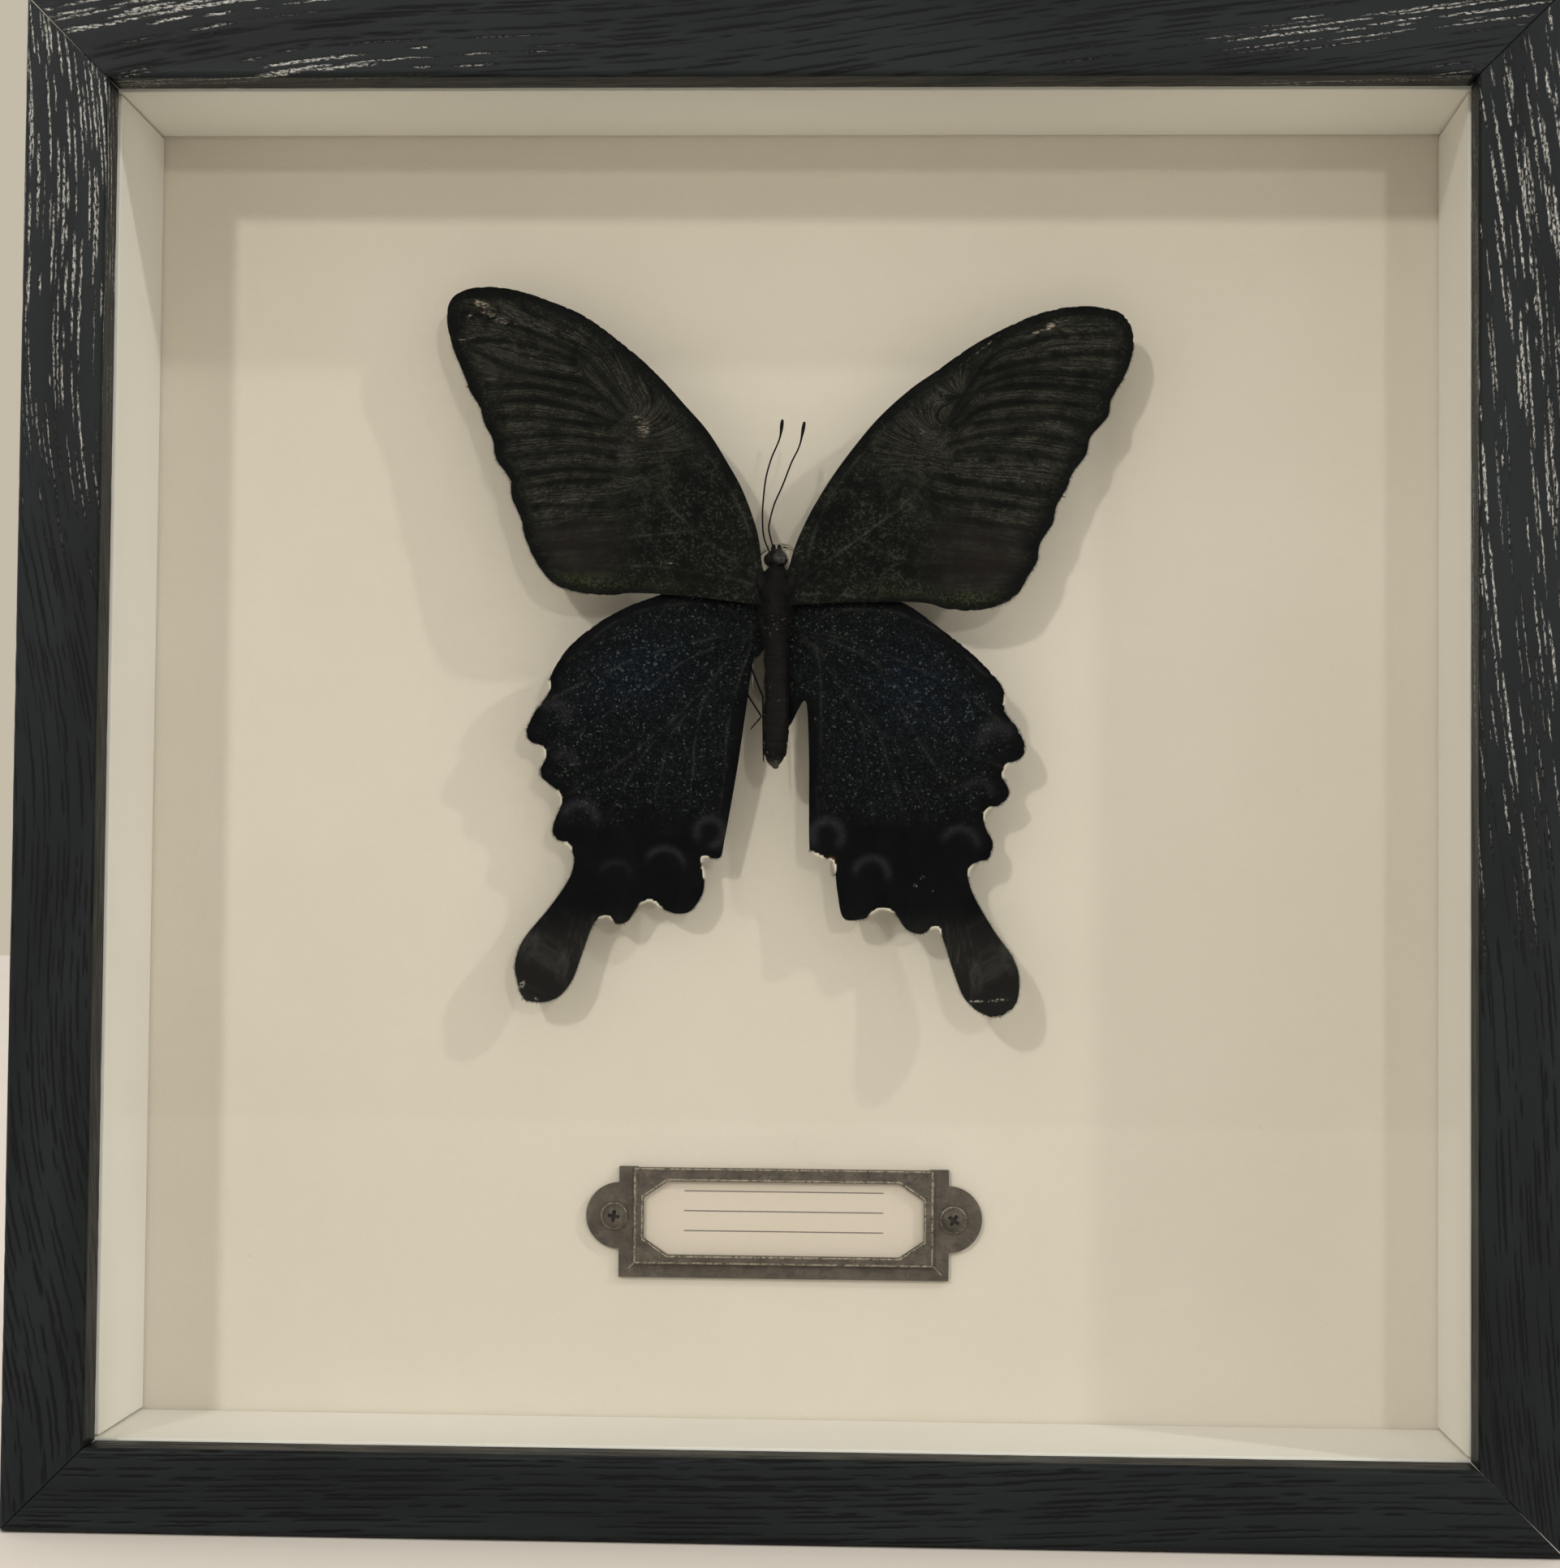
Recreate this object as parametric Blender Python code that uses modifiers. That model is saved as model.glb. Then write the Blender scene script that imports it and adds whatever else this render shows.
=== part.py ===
"""Framed butterfly specimen: a swallowtail with spread wings on a clear bar, over a mat board with a
label holder, behind glass in a deep black box frame.

Metres, +Z up. The frame's front faces -Y and it stands on the underside of its bottom rail. The origin is
the middle of that underside. Lengths below are in millimetres times MM. Places on the specimen and on the
label holder are (x, z) from the middle of the opening, and a height there is measured off the mat.
"""

import math

import bmesh
import bpy
from mathutils import Matrix

MM = 0.001
GAP = 0.3 * MM  # play between pieces that touch

# The frame: four mitred rails with a lip in front of a rabbet.
OUTER = 220 * MM
DEPTH = 44 * MM
FACE = 12 * MM
LIP = 6.5 * MM
WALL = 6 * MM
FRONT_ARRIS = 1.0 * MM
LIP_ARRIS = 0.8 * MM
BACK_ARRIS = 0.5 * MM
ARC_STEPS = 4
ROUND_STEPS = 14
WELD = 0.00001
CENTRE_Z = OUTER / 2

# What the rabbet holds, from the lip backwards.
GLASS = 2.0 * MM
MAT = 1.5 * MM
PANEL = 3.0 * MM
LIP_TO_MAT = 29.2 * MM
SHEET_PLAY = 0.5 * MM
SHEET_SIDE = OUTER - 2 * (WALL + SHEET_PLAY)
LIP_BACK = -DEPTH / 2 + LIP
GLASS_FRONT = LIP_BACK + GAP
GLASS_BACK = GLASS_FRONT + GLASS
MAT_FRONT = LIP_BACK + LIP_TO_MAT
MAT_BACK = MAT_FRONT + MAT
PANEL_FRONT = MAT_BACK + GAP
PANEL_BACK = PANEL_FRONT + PANEL
SPACER_FRONT = GLASS_BACK + GAP
SPACER_BACK = MAT_FRONT - GAP
OPENING_HALF = OUTER / 2 - FACE
RABBET_HALF = OUTER / 2 - WALL

# Steel tabs driven into the rabbet wall behind the panel, two to a rail.
TAB_LENGTH = 11 * MM
TAB_WIDTH = 6 * MM
TAB_THICK = 0.5 * MM
TAB_BITE = 3 * MM
TAB_AT = 55 * MM

# Sawtooth hanger on the panel, inside the recess.
HANGER_LENGTH = 40 * MM
HANGER_HEIGHT = 9 * MM
HANGER_THICK = 0.8 * MM
HANGER_Z = 86 * MM
HANGER_LIFT = 1.2 * MM
HANGER_FOOT = 7 * MM
HANGER_TEETH = 9
TOOTH_PITCH = 2.4 * MM
TOOTH_DEPTH = 1.6 * MM
HANGER_NAIL_AT = HANGER_LENGTH / 2 - HANGER_FOOT / 2
NAIL_SHANK = 0.7 * MM
NAIL_HEAD = 1.8 * MM
NAIL_CROWN = 0.6 * MM
NAIL_RIM = 0.45 * MM
NAIL_POINT = 0.8 * MM
NAIL_SIDES = 20

# Label holder: a pressed plate with two ears, and a raised pocket for the card, open at the top.
HOLDER_X = -0.4 * MM
HOLDER_Z = -68.45 * MM
HOLDER_PLATE = (50 * MM, 16.7 * MM)
HOLDER_THICK = 0.8 * MM
EAR_RADIUS = 5.0 * MM
EAR_Z = 0.9 * MM
RAISED_WIDTH = 45.4 * MM
RAISED_BOTTOM = 2.5 * MM
RAISED_HEIGHT = 1.0 * MM
WINDOW = (42.4 * MM, 11.1 * MM)
WINDOW_Z = 0.7 * MM
WINDOW_CUT = (3.7 * MM, 2.5 * MM)
CARD = (43.6 * MM, 13.4 * MM, 0.4 * MM)
CARD_PLAY = 0.35 * MM
SCREW_AT = 25.7 * MM
SCREW_HEAD = 2.05 * MM
SCREW_DOME = 1.1 * MM
SCREW_SHANK = 1.0 * MM
SCREW_LENGTH = 5.3 * MM
SCREW_SIDES = 24
DOME_STEPS = 5
CROSS = (2.6 * MM, 0.5 * MM, 0.7 * MM)

# Clear bar between the mat and the underside of the thorax.
BAR_WIDTH = 8 * MM
BAR_TOP_Z = 30.2 * MM
BAR_LOW_Z = 13.3 * MM
BAR_X = -1.8 * MM
BAR_HEIGHT = 8.1 * MM

# The butterfly. Its axis lies a little left of the frame's middle.
BODY_X = -1.95
BODY_HEIGHT = 11.4
BODY_DEPTH_SHARE = 0.92
BODY_SIDES = 18
WING_THICK = 0.4

# Wing heights off the mat, in millimetres: the forewings fall towards their tips, the hindwings droop
# towards their hind edges and curl up again along the tails, the left less than the right.
FORE_ROOT_HEIGHT = 12.6
FORE_FALL = 3.8 / 66
FORE_RUN = (0.76, 0.65)
FORE_ROOT_Z = 27.0
HIND_ROOT_HEIGHT = 10.6
HIND_ROOT_Z = 20.0
HIND_FALL = (0.12, 0.085)
HIND_FALL_OVER = 32.0
HIND_CURL = (1.5, 4.5)
HIND_CURL_Z = -16.0
HIND_CURL_OVER = 20.0

# Body profile from the head down to the tip of the abdomen, as (radius, z).
BODY_PROFILE = [
    (0.0, 33.0), (0.8, 32.8), (1.4, 32.2), (1.65, 31.4), (1.4, 30.7), (1.1, 30.3), (1.6, 29.6), (2.2, 28.2),
    (2.5, 26.2), (2.5, 24.0), (2.2, 22.0), (1.7, 20.3), (1.5, 19.2), (1.7, 17.6), (1.8, 14.0), (1.75, 10.0),
    (1.9, 6.5), (1.95, 4.6), (1.7, 3.1), (1.2, 1.6), (0.65, 0.6), (0.0, 0.1),
]

# Wing outlines, from the root along the front edge to the tip, and back along the outer and rear edges.
FOREWING_LEFT = [
    (-4.9, 29.0), (-4.6, 32.9), (-4.9, 35.3), (-7.0, 41.5), (-9.2, 45.5), (-12.4, 50.6), (-16.0, 54.7),
    (-19.8, 58.9), (-24.1, 62.9), (-30.8, 67.9), (-36.4, 70.5), (-41.7, 72.3), (-46.4, 72.9), (-49.9, 72.3),
    (-51.8, 70.8), (-52.3, 67.9), (-51.4, 63.8), (-49.3, 58.7), (-48.6, 56.9), (-47.0, 54.3), (-46.4, 52.1),
    (-44.9, 49.2), (-44.5, 46.6), (-42.3, 43.4), (-41.9, 40.6), (-40.4, 37.2), (-40.0, 35.1), (-38.8, 32.2),
    (-37.3, 29.7), (-35.2, 27.5), (-32.2, 26.4), (-27.5, 25.8), (-22.9, 26.2), (-14.8, 25.7), (-5.1, 24.5),
]
FOREWING_RIGHT = [
    (1.2, 29.0), (0.8, 31.9), (1.6, 34.8), (3.4, 38.9), (6.4, 43.9), (9.6, 48.4), (13.3, 52.9), (17.8, 57.1),
    (21.8, 60.0), (26.6, 63.5), (31.1, 66.1), (36.0, 68.4), (40.4, 69.7), (44.9, 70.0), (48.7, 69.3),
    (50.5, 67.8), (51.3, 65.3), (51.1, 62.7), (49.9, 59.3), (48.0, 55.9), (47.4, 53.2), (44.9, 50.2),
    (44.2, 47.5), (42.2, 44.6), (41.4, 42.4), (39.8, 39.6), (39.3, 37.1), (37.4, 34.0), (37.0, 31.4),
    (35.7, 29.1), (33.9, 26.2), (31.4, 24.7), (27.6, 23.8), (23.5, 24.0), (19.9, 24.9), (10.7, 25.0),
    (1.2, 24.5),
]
HINDWING_LEFT = [
    (-5.1, 23.4), (-8.0, 24.0), (-12.5, 25.1), (-18.6, 25.7), (-23.8, 24.5), (-28.5, 21.9), (-33.1, 18.1),
    (-35.8, 13.9), (-36.1, 11.4), (-38.3, 8.3), (-39.5, 5.3), (-38.7, 3.9), (-37.1, 3.3), (-36.7, 1.4),
    (-37.5, -0.8), (-35.9, -2.5), (-34.7, -3.5), (-34.3, -5.4), (-35.5, -8.6), (-35.2, -10.4), (-33.3, -11.5),
    (-32.3, -13.4), (-32.9, -16.4), (-35.7, -20.7), (-39.6, -25.6), (-40.9, -29.0), (-40.7, -31.6),
    (-39.6, -34.6), (-37.5, -35.2), (-34.6, -34.6), (-32.3, -31.9), (-30.8, -27.7), (-29.2, -23.3),
    (-27.3, -22.2), (-25.7, -23.3), (-24.0, -22.8), (-22.3, -20.4), (-20.5, -19.9), (-18.8, -21.0),
    (-16.6, -21.7), (-14.5, -21.2), (-12.8, -18.6), (-12.6, -15.8), (-12.9, -13.3), (-10.3, -13.2),
    (-9.5, -10.2), (-7.8, -0.6), (-6.7, 6.8), (-5.8, 13.3), (-5.2, 18.0),
]
HINDWING_RIGHT = [
    (1.2, 23.4), (4.0, 23.6), (7.1, 24.2), (12.3, 24.7), (17.2, 24.1), (21.9, 21.7), (26.7, 18.1),
    (30.6, 14.3), (32.2, 11.8), (32.4, 8.8), (34.1, 6.6), (35.4, 3.6), (34.7, 1.9), (32.8, 1.0),
    (32.2, -0.8), (33.1, -3.1),
    (32.0, -4.9), (29.8, -5.8), (29.5, -8.1), (30.7, -10.7), (30.1, -13.0), (28.2, -13.7), (27.1, -15.4),
    (27.8, -18.4), (30.8, -23.6), (33.8, -27.9), (34.7, -31.2), (34.1, -34.7), (31.6, -36.5), (29.2, -36.1),
    (26.6, -33.9), (24.8, -29.6), (23.6, -25.8), (22.3, -23.4), (20.1, -24.4), (17.9, -23.7), (16.2, -21.5),
    (14.1, -20.7), (12.4, -21.6), (11.5, -22.2), (8.5, -22.2), (7.5, -18.3), (6.9, -13.9), (5.4, -13.2),
    (3.6, -12.2), (3.2, -10.4), (3.1, 1.7), (2.9, 9.5), (2.4, 10.9), (1.1, 7.4), (1.0, 12.0), (1.0, 18.0),
]

# Antennae and legs, as (x, z, height). Left and right differ, as they dried.
ANTENNA_LEFT = [
    (-3.2, 33.2, 12.0), (-3.8, 34.6, 12.6), (-4.0, 37.3, 13.0), (-3.9, 39.9, 13.3), (-3.5, 43.3, 13.6),
    (-2.7, 46.2, 13.8), (-1.5, 49.2, 13.9), (-1.1, 52.0, 14.0),
]
ANTENNA_RIGHT = [
    (-2.5, 33.5, 12.4), (-3.0, 35.4, 12.9), (-2.9, 36.8, 13.3), (-2.2, 39.4, 13.7), (-1.0, 42.1, 14.0),
    (0.3, 45.5, 14.2), (1.5, 48.1, 14.3), (2.2, 51.6, 14.4),
]
ANTENNA_RADIUS = 0.14
CLUB_SHARE = [1, 1, 1, 1, 1, 1.2, 2.0, 1.5]
LEG_RADIUS = 0.2
LEGS = {
    "leg_hind_left": [
        (-3.9, 18.6, 9.3), (-5.9, 15.8, 8.7), (-4.2, 10.8, 8.9), (-4.1, 6.0, 9.2), (-3.9, 1.2, 9.6),
    ],
    "leg_mid_left": [(-4.1, 21.4, 8.9), (-8.4, 14.6, 8.6), (-4.8, 8.0, 8.5), (-5.7, 6.1, 8.5)],
    "leg_fore_left": [(-3.9, 28.6, 8.9), (-6.4, 29.6, 8.8), (-7.4, 32.6, 8.8), (-8.0, 34.8, 8.9)],
    "leg_hind_right": [(0.3, 18.6, 9.1), (3.4, 16.2, 8.7), (3.6, 9.8, 8.6), (4.2, 3.0, 7.8)],
    "leg_mid_right": [(0.6, 21.4, 8.8), (5.4, 14.6, 8.5), (5.2, 8.6, 8.3), (5.9, 5.4, 8.0)],
    "leg_fore_right": [(0.2, 28.6, 8.8), (2.6, 29.6, 8.8), (3.6, 32.0, 8.8), (4.4, 34.0, 8.9)],
}


def clear_scene():
    for old in list(bpy.data.objects):
        bpy.data.objects.remove(old, do_unlink=True)


def new_collection(name):
    made = bpy.data.collections.new(name)
    bpy.context.scene.collection.children.link(made)
    return made


def new_material(name, colour, roughness, metallic=0.0):
    material = bpy.data.materials.new(name)
    material.use_nodes = True
    shader = material.node_tree.nodes["Principled BSDF"]
    shader.inputs["Base Color"].default_value = (*colour, 1.0)
    shader.inputs["Roughness"].default_value = roughness
    shader.inputs["Metallic"].default_value = metallic
    return material


clear_scene()
PARTS = new_collection("framed_butterfly_specimen")
CUTTERS = new_collection("cutters")


def add_part(name, data, material, location=(0, 0, 0)):
    """An object of its own for one piece, in the object's collection."""
    part = bpy.data.objects.new(name, data)
    part.location = location
    data.materials.append(material)
    PARTS.objects.link(part)
    return part


def box_mesh(name, low, high):
    """A box between two corners."""
    size = [b - a for a, b in zip(low, high)]
    middle = [(a + b) / 2 for a, b in zip(low, high)]
    shape = bmesh.new()
    bmesh.ops.create_cube(shape, size=1.0)
    bmesh.ops.scale(shape, vec=size, verts=shape.verts)
    bmesh.ops.translate(shape, vec=middle, verts=shape.verts)
    mesh = bpy.data.meshes.new(name)
    shape.to_mesh(mesh)
    shape.free()
    return mesh


def rod_mesh(name, radius, y_low, y_high, x, z, sides=20):
    """A round rod along Y."""
    shape = bmesh.new()
    bmesh.ops.create_cone(
        shape, cap_ends=True, segments=sides, radius1=radius, radius2=radius, depth=y_high - y_low
    )
    bmesh.ops.rotate(shape, matrix=Matrix.Rotation(math.pi / 2, 3, "X"), verts=shape.verts)
    bmesh.ops.translate(shape, vec=(x, (y_low + y_high) / 2, z), verts=shape.verts)
    mesh = bpy.data.meshes.new(name)
    shape.to_mesh(mesh)
    shape.free()
    return mesh


def cut(part, mesh, location=(0, 0, 0), angle=0.0):
    """Take a shape away from a piece with a Boolean."""
    combine(part, mesh, "DIFFERENCE", location, angle)


def combine(part, mesh, operation, location=(0, 0, 0), angle=0.0):
    tool = bpy.data.objects.new(f"{part.name}_{mesh.name}", mesh)
    tool.location = location
    tool.rotation_euler = (0, angle, 0)
    tool.hide_render = True
    tool.display_type = "WIRE"
    CUTTERS.objects.link(tool)
    modifier = part.modifiers.new(mesh.name, "BOOLEAN")
    modifier.operation = operation
    modifier.object = tool
    modifier.solver = "EXACT"


def rounded_corner(before, corner, after, radius):
    """Points of an arc that rounds a square corner."""
    into = [math.copysign(radius, a - b) if a != b else 0.0 for a, b in zip(before, corner)]
    out = [math.copysign(radius, a - b) if a != b else 0.0 for a, b in zip(after, corner)]
    points = []
    for step in range(ARC_STEPS + 1):
        turn = step / ARC_STEPS * math.pi / 2
        back = 1 - math.sin(turn)
        ahead = 1 - math.cos(turn)
        points.append(tuple(c + i * back + o * ahead for c, i, o in zip(corner, into, out)))
    return points


def flat_curve(name, loops, thickness, smooth=False, resolution=2):
    """A flat closed curve, filled and given a thickness; loops after the first are holes."""
    curve = bpy.data.curves.new(name, "CURVE")
    curve.dimensions = "2D"
    curve.fill_mode = "BOTH"
    curve.extrude = thickness / 2
    curve.resolution_u = resolution
    for points in loops:
        spline = curve.splines.new("BEZIER" if smooth else "POLY")
        anchors = spline.bezier_points if smooth else spline.points
        anchors.add(len(points) - 1)
        for anchor, (x, y) in zip(anchors, points):
            anchor.co = (x, y, 0) if smooth else (x, y, 0, 1)
            if smooth:
                anchor.handle_left_type = "AUTO"
                anchor.handle_right_type = "AUTO"
        spline.use_cyclic_u = True
    return curve


def curve_to_mesh(curve, name):
    """The curve's own surface as a welded mesh; the curve is removed."""
    guide = bpy.data.objects.new(name + "_guide", curve)
    PARTS.objects.link(guide)
    bpy.context.view_layer.update()
    solid = guide.evaluated_get(bpy.context.evaluated_depsgraph_get())
    mesh = bpy.data.meshes.new_from_object(solid)
    mesh.name = name
    bpy.data.objects.remove(guide, do_unlink=True)
    bpy.data.curves.remove(curve)
    shape = bmesh.new()
    shape.from_mesh(mesh)
    bmesh.ops.remove_doubles(shape, verts=shape.verts, dist=WELD)
    bmesh.ops.recalc_face_normals(shape, faces=shape.faces)
    shape.to_mesh(mesh)
    shape.free()
    return mesh


def upright(mesh, y_front, thickness):
    """Turn a plate drawn in XY to stand in XZ, its front face at y_front."""
    turn = Matrix.Rotation(math.pi / 2, 4, "X")
    mesh.transform(Matrix.Translation((0, y_front + thickness / 2, CENTRE_Z)) @ turn)
    return mesh


def plate_mesh(name, loops, y_front, thickness):
    return upright(curve_to_mesh(flat_curve(name, loops, thickness), name), y_front, thickness)


def rectangle(width, height, x=0.0, z=0.0):
    return [
        (x - width / 2, z - height / 2), (x + width / 2, z - height / 2),
        (x + width / 2, z + height / 2), (x - width / 2, z + height / 2),
    ]


def turned_mesh(name, profile):
    """A profile for a Screw modifier to turn round the Z axis, run down its outer side."""
    mesh = bpy.data.meshes.new(name)
    edges = [(i, i + 1) for i in range(len(profile) - 1)]
    mesh.from_pydata([(r, 0, z) for r, z in profile], edges, [])
    return mesh


def turn(part, steps):
    modifier = part.modifiers.new("turn", "SCREW")
    modifier.axis = "Z"
    modifier.steps = steps
    modifier.render_steps = steps
    modifier.use_merge_vertices = True
    modifier.merge_threshold = WELD


def wire(name, points, radius, material, shares=None):
    """A thin bent limb: a bevelled curve through (x, z, height) in millimetres."""
    curve = bpy.data.curves.new(name, "CURVE")
    curve.dimensions = "3D"
    curve.bevel_depth = radius * MM
    curve.bevel_resolution = 1
    curve.use_fill_caps = True
    spline = curve.splines.new("POLY")
    spline.points.add(len(points) - 1)
    for index, (x, z, height) in enumerate(points):
        spline.points[index].co = (x * MM, MAT_FRONT - height * MM, CENTRE_Z + z * MM, 1)
        spline.points[index].radius = shares[index] if shares else 1.0
    return add_part(name, curve, material)


# Materials
BLACK_WOOD = new_material("black_stained_wood", (0.02, 0.022, 0.023), 0.45)
CLEAR_GLASS = new_material("clear_glass", (0.9, 0.93, 0.92), 0.05)
WHITE_STRIP = new_material("white_strip", (0.62, 0.59, 0.52), 0.7)
CREAM_BOARD = new_material("cream_board", (0.68, 0.61, 0.47), 0.85)
BROWN_BOARD = new_material("brown_hardboard", (0.22, 0.13, 0.07), 0.8)
STEEL = new_material("zinc_steel", (0.55, 0.56, 0.57), 0.4, 0.9)
BRONZE = new_material("dark_bronze", (0.09, 0.07, 0.055), 0.45, 0.8)
CARD_STOCK = new_material("card_stock", (0.62, 0.54, 0.44), 0.9)
CLEAR_BAR = new_material("clear_bar", (0.9, 0.92, 0.92), 0.1)
DARK_BODY = new_material("dark_body", (0.02, 0.018, 0.015), 0.6)
FORE_BLACK = new_material("forewing_black", (0.02, 0.021, 0.016), 0.6)
HIND_BLACK = new_material("hindwing_blue_black", (0.012, 0.018, 0.03), 0.55)


# Frame rails: one profile, drawn out, mitred at both ends and turned to each side.
def rail_profile():
    """The rail's section as (distance in from the outer side, distance back from the front)."""
    corner_outer = rounded_corner((0, DEPTH), (0, 0), (FACE, 0), FRONT_ARRIS)
    corner_lip = rounded_corner((0, 0), (FACE, 0), (FACE, LIP), LIP_ARRIS)
    corner_back = rounded_corner((WALL, DEPTH), (0, DEPTH), (0, 0), BACK_ARRIS)
    return corner_outer + corner_lip + [(FACE, LIP), (WALL, LIP), (WALL, DEPTH)] + corner_back


def rail_mesh(name):
    """The bottom rail about the frame's centre, its ends cut at 45 degrees."""
    mesh = curve_to_mesh(flat_curve(name, [rail_profile()], OUTER), name)
    mitre_gap = GAP / math.sqrt(2)
    for vertex in mesh.vertices:
        inward, back, along = vertex.co
        end = math.copysign(OUTER / 2 - inward - mitre_gap, along)
        vertex.co = (end, back - DEPTH / 2, inward - OUTER / 2)
    shape = bmesh.new()
    shape.from_mesh(mesh)
    bmesh.ops.recalc_face_normals(shape, faces=shape.faces)
    shape.to_mesh(mesh)
    shape.free()
    return mesh


def tab_box(grow):
    """A tab at the bottom rail, about the frame's centre: half in the rabbet wall, half over the panel."""
    y_low = PANEL_BACK + GAP - grow
    z_low = -RABBET_HALF - TAB_BITE - grow
    z_high = z_low + TAB_LENGTH + 2 * grow
    return (-TAB_WIDTH / 2 - grow, y_low, z_low), (TAB_WIDTH / 2 + grow, y_low + TAB_THICK + 2 * grow, z_high)


def build_rails_and_tabs():
    for side, quarter in (("bottom", 0), ("right", 3), ("top", 2), ("left", 1)):
        angle = quarter * math.pi / 2
        rail = add_part(f"frame_rail_{side}", rail_mesh(f"rail_{side}"), BLACK_WOOD, (0, 0, CENTRE_Z))
        rail.rotation_euler = (0, angle, 0)
        for number, at in ((1, -TAB_AT), (2, TAB_AT)):
            slot = box_mesh(f"slot_{number}", *tab_box(GAP))
            slot.transform(Matrix.Translation((at, 0, 0)))
            cut(rail, slot, (0, 0, CENTRE_Z), angle)
            steel = box_mesh(f"tab_{side}_{number}", *tab_box(0.0))
            steel.transform(Matrix.Translation((at, 0, 0)))
            tab = add_part(f"retaining_tab_{side}_{number}", steel, STEEL, (0, 0, CENTRE_Z))
            tab.rotation_euler = (0, angle, 0)


# Sheets and strips inside the rabbet.
def sheet(name, y_front, thickness, material):
    half = SHEET_SIDE / 2
    mesh = box_mesh(name, (-half, y_front, CENTRE_Z - half), (half, y_front + thickness, CENTRE_Z + half))
    return add_part(name, mesh, material)


def build_spacers():
    outer = SHEET_SIDE / 2
    inner = OPENING_HALF
    side_half = inner - GAP
    for side, sign in (("bottom", -1), ("top", 1)):
        z_pair = sorted((CENTRE_Z + sign * inner, CENTRE_Z + sign * outer))
        mesh = box_mesh(side, (-outer, SPACER_FRONT, z_pair[0]), (outer, SPACER_BACK, z_pair[1]))
        add_part(f"spacer_{side}", mesh, WHITE_STRIP)
    for side, sign in (("left", -1), ("right", 1)):
        x_pair = sorted((sign * inner, sign * outer))
        low = (x_pair[0], SPACER_FRONT, CENTRE_Z - side_half)
        mesh = box_mesh(side, low, (x_pair[1], SPACER_BACK, CENTRE_Z + side_half))
        add_part(f"spacer_{side}", mesh, WHITE_STRIP)


def build_sheets():
    sheet("glass_pane", GLASS_FRONT, GLASS, CLEAR_GLASS)
    mat = sheet("mat_board", MAT_FRONT, MAT, CREAM_BOARD)
    panel = sheet("back_panel", PANEL_FRONT, PANEL, BROWN_BOARD)
    for number, sign in ((1, -1), (2, 1)):
        x = HOLDER_X + sign * SCREW_AT
        z = CENTRE_Z + HOLDER_Z + EAR_Z
        cut(mat, rod_mesh(f"screw_hole_{number}", SCREW_SHANK + GAP, MAT_FRONT - MAT, MAT_BACK + MAT, x, z))
        pilot_end = MAT_FRONT - HOLDER_THICK - GAP + SCREW_LENGTH + GAP
        cut(panel, rod_mesh(f"pilot_{number}", SCREW_SHANK + GAP, PANEL_FRONT - MAT, pilot_end, x, z))
        nail_x = sign * HANGER_NAIL_AT
        nail_z = CENTRE_Z + HANGER_Z
        nail_from = PANEL_BACK - PANEL / 2 - GAP
        hole = rod_mesh(f"nail_hole_{number}", NAIL_SHANK + GAP, nail_from, PANEL_BACK + MAT, nail_x, nail_z)
        cut(panel, hole)


# Sawtooth hanger: a strip stood off the panel between two feet, its lower edge cut into teeth.
def hanger_outline():
    half = HANGER_LENGTH / 2
    low = -HANGER_HEIGHT / 2
    points = [(-half, low)]
    first = -HANGER_TEETH * TOOTH_PITCH / 2
    for tooth in range(HANGER_TEETH):
        left = first + tooth * TOOTH_PITCH
        points += [(left, low), (left + TOOTH_PITCH / 2, low + TOOTH_DEPTH)]
    points += [(-first, low), (half, low), (half, -low), (-half, -low)]
    return [(x, z + HANGER_Z) for x, z in points]


def build_hanger():
    foot_front = PANEL_BACK + GAP
    strip_front = foot_front + HANGER_LIFT
    plate = plate_mesh("hanger_strip", [hanger_outline()], strip_front, HANGER_THICK)
    hanger = add_part("sawtooth_hanger", plate, STEEL)
    for number, sign in ((1, -1), (2, 1)):
        x = sign * HANGER_NAIL_AT
        foot_half = HANGER_FOOT / 2
        low = (x - foot_half, foot_front, CENTRE_Z + HANGER_Z - HANGER_HEIGHT / 2)
        high = (x + foot_half, strip_front + HANGER_THICK / 2, CENTRE_Z + HANGER_Z + HANGER_HEIGHT / 2)
        combine(hanger, box_mesh(f"foot_{number}", low, high), "UNION")
    for number, sign in ((1, -1), (2, 1)):
        x = sign * HANGER_NAIL_AT
        z = CENTRE_Z + HANGER_Z
        cut(hanger, rod_mesh(f"hole_{number}", NAIL_SHANK + GAP, PANEL_FRONT, DEPTH, x, z))
        head_front = strip_front + HANGER_THICK + GAP
        head = head_front - (PANEL_BACK - PANEL / 2)
        profile = [
            (0.0, NAIL_CROWN), (NAIL_HEAD, NAIL_RIM), (NAIL_HEAD, 0.0), (NAIL_SHANK, 0.0),
            (NAIL_SHANK, -head + NAIL_POINT), (0.0, -head),
        ]
        nail = add_part(f"hanger_nail_{number}", turned_mesh("nail", profile), STEEL, (x, head_front, z))
        nail.rotation_euler = (-math.pi / 2, 0, 0)
        turn(nail, NAIL_SIDES)


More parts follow.
